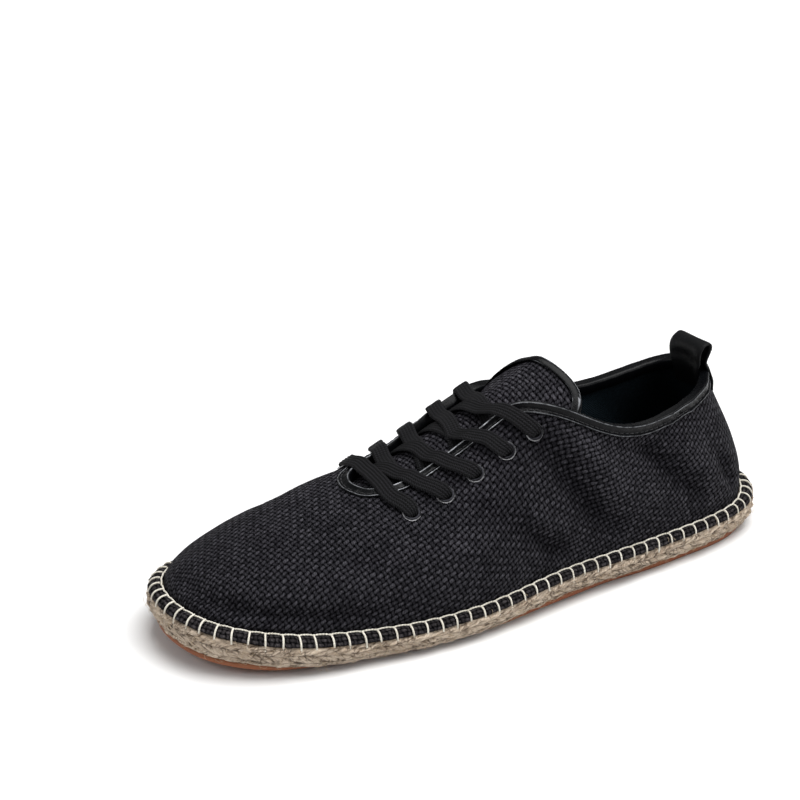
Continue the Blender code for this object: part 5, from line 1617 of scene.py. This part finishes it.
def laceStrip(name, route, ends):
    shares = np.linspace(0.0, 1.0, laces["sections"] * ends)
    line = naturalCurve(route, shares)
    tangent = unit(np.gradient(line, axis=0))
    heading = laceHeading()
    across = unit(heading - tangent * (tangent @ heading)[:, None])
    normal = np.cross(tangent, across)
    length = runAlong(line)
    reach = length if ends == 1 else np.minimum(length, length[-1] - length)
    grow = smooth(reach, 0.0012, 0.0056)
    width = laces["throatWidth"] + (laces["width"] - laces["throatWidth"]) * grow
    thick = laces["thickness"] * (1.0 + 0.5 * (1.0 - grow))
    x, z, acrossMap = laceSection()
    curl = 0.10 * (1.0 - grow)
    sideways = width[:, None] * x[None]
    raised = thick[:, None] * z[None] + (width * curl)[:, None] * (2.0 * x[None]) ** 2
    grid = toWorld(line[:, None] + across[:, None] * sideways[..., None] + normal[:, None] * raised[..., None])
    uv = np.stack(np.broadcast_arrays(closeLoop(acrossMap)[None], length[:, None]), axis=2)
    strip = gridMesh(name, grid, (lacesLook,), uv=uv)
    shape = bmesh.new()
    shape.from_mesh(strip.data)
    bmesh.ops.holes_fill(shape, edges=[e for e in shape.edges if e.is_boundary], sides=0)
    bmesh.ops.recalc_face_normals(shape, faces=shape.faces)
    shape.to_mesh(strip.data)
    shape.free()
    return strip


def joinPieces(name, parts):
    # several closed strips become one piece
    shape = bmesh.new()
    for part in parts:
        shape.from_mesh(part.data)
    mesh = bpy.data.meshes.new(name)
    shape.to_mesh(mesh)
    shape.free()
    for look in parts[0].data.materials:
        mesh.materials.append(look)
    mesh.shade_smooth()
    for part in parts:
        bpy.data.objects.remove(part)
    return newPiece(name, mesh)


def makeLaces():
    outer = laceEnd(1, 1.0, laces["barRun"][0])
    inner = laceEnd(1, -1.0, laces["barRun"][1])
    middle = tautPoints(outer[-1], inner[-1], 0.0006, (0.3, 0.5, 0.7))
    bar = laceStrip("laceBar", outer + middle + inner[::-1], 2)
    finishPiece(bar, "flat_lace", "lace_bar")
    step = laces["thickness"] + 0.0001
    for number in range(2, 6):
        strips = []
        for side in (1.0, -1.0):
            route = laceEnd(number, side, laces["run"][side])
            crest = route[-1]
            far = rimRowAt(crest[0] + laces["across"], -side)
            end = upperSkin(far, 0.0020, -0.0042)[0][0]
            lift = step if laces["over"][number] == side else 0.0
            route = route + tautPoints(crest, end, lift, (0.2, 0.4, 0.6, 0.8)) + [end]
            strips.append(laceStrip("strip", route, 1))
        crossing = joinPieces(f"laceCross{number}", strips)
        finishPiece(crossing, "flat_lace", f"lace_cross_{number}")


# build
makeOutsole()
makeJute()
print("sole made")
makeWelt()
makeThreadLine()
makeBlanketStitches()
print("welt and stitches made")
makeInsole()
wovenUpper = makeUpper()
print("upper made")
makeCollar()
makeTongue(wovenUpper)
print("trim and tongue made")
makeEyelets()
makeLaces()
print("eyelets and laces made")

# floor, light and camera
studio = {
    "floorColour": (0.80, 0.80, 0.80, 1.0),
    "floorReach": 6.0,
    "worldStrength": 0.25,
    "cameraPlace": (1.0505, -0.68243, 0.65471),
    "cameraTurn": (65.3465, -0.536, 58.5422),
    "lens": 151.96,
    # place, aim, size and power of each soft box
    "lights": (
        ("topBox", (0.20, 0.34, 1.85), (0.0, 0.0, 0.02), 1.8, 60.0),
        ("frontBox", (-0.10, -1.70, 1.20), (0.0, 0.0, 0.04), 1.0, 8.0),
        ("sideBox", (1.60, 0.60, 1.00), (0.0, 0.0, 0.04), 0.9, 7.0),
    ),
}


def makeStudio():
    mesh = bpy.data.meshes.new("floor")
    reach = studio["floorReach"]
    corners = [(reach * x, reach * y, 0.0) for x, y in ((-1, -1), (1, -1), (1, 1), (-1, 1))]
    mesh.from_pydata(corners, [], [(0, 1, 2, 3)])
    mesh.materials.append(newMaterial("paleFloor", 0.9, 0.0, **{"Base Color": studio["floorColour"]})[0])
    newPiece("floor", mesh)
    world = bpy.data.worlds.new("studioLight")
    bpy.context.scene.world = world
    world.use_nodes = True
    ground = world.node_tree.nodes["Background"]
    ground.inputs[0].default_value = (1.0, 1.0, 1.0, 1.0)
    ground.inputs[1].default_value = studio["worldStrength"]
    for name, place, aim, size, power in studio["lights"]:
        light = bpy.data.lights.new(name, "AREA")
        light.shape = "SQUARE"
        light.size = size
        light.energy = power
        lamp = newPiece(name, light)
        lamp.location = place
        lamp.rotation_euler = (Vector(aim) - Vector(place)).to_track_quat("-Z", "Y").to_euler()
    camera = bpy.data.cameras.new("photoCamera")
    camera.lens = studio["lens"]
    camera.sensor_width = 36.0
    camera.clip_start = 0.05
    eye = newPiece("photoCamera", camera)
    eye.location = studio["cameraPlace"]
    eye.rotation_euler = [math.radians(angle) for angle in studio["cameraTurn"]]
    bpy.context.scene.camera = eye
    bpy.context.scene.view_settings.view_transform = "Standard"


makeStudio()
print("studio made")
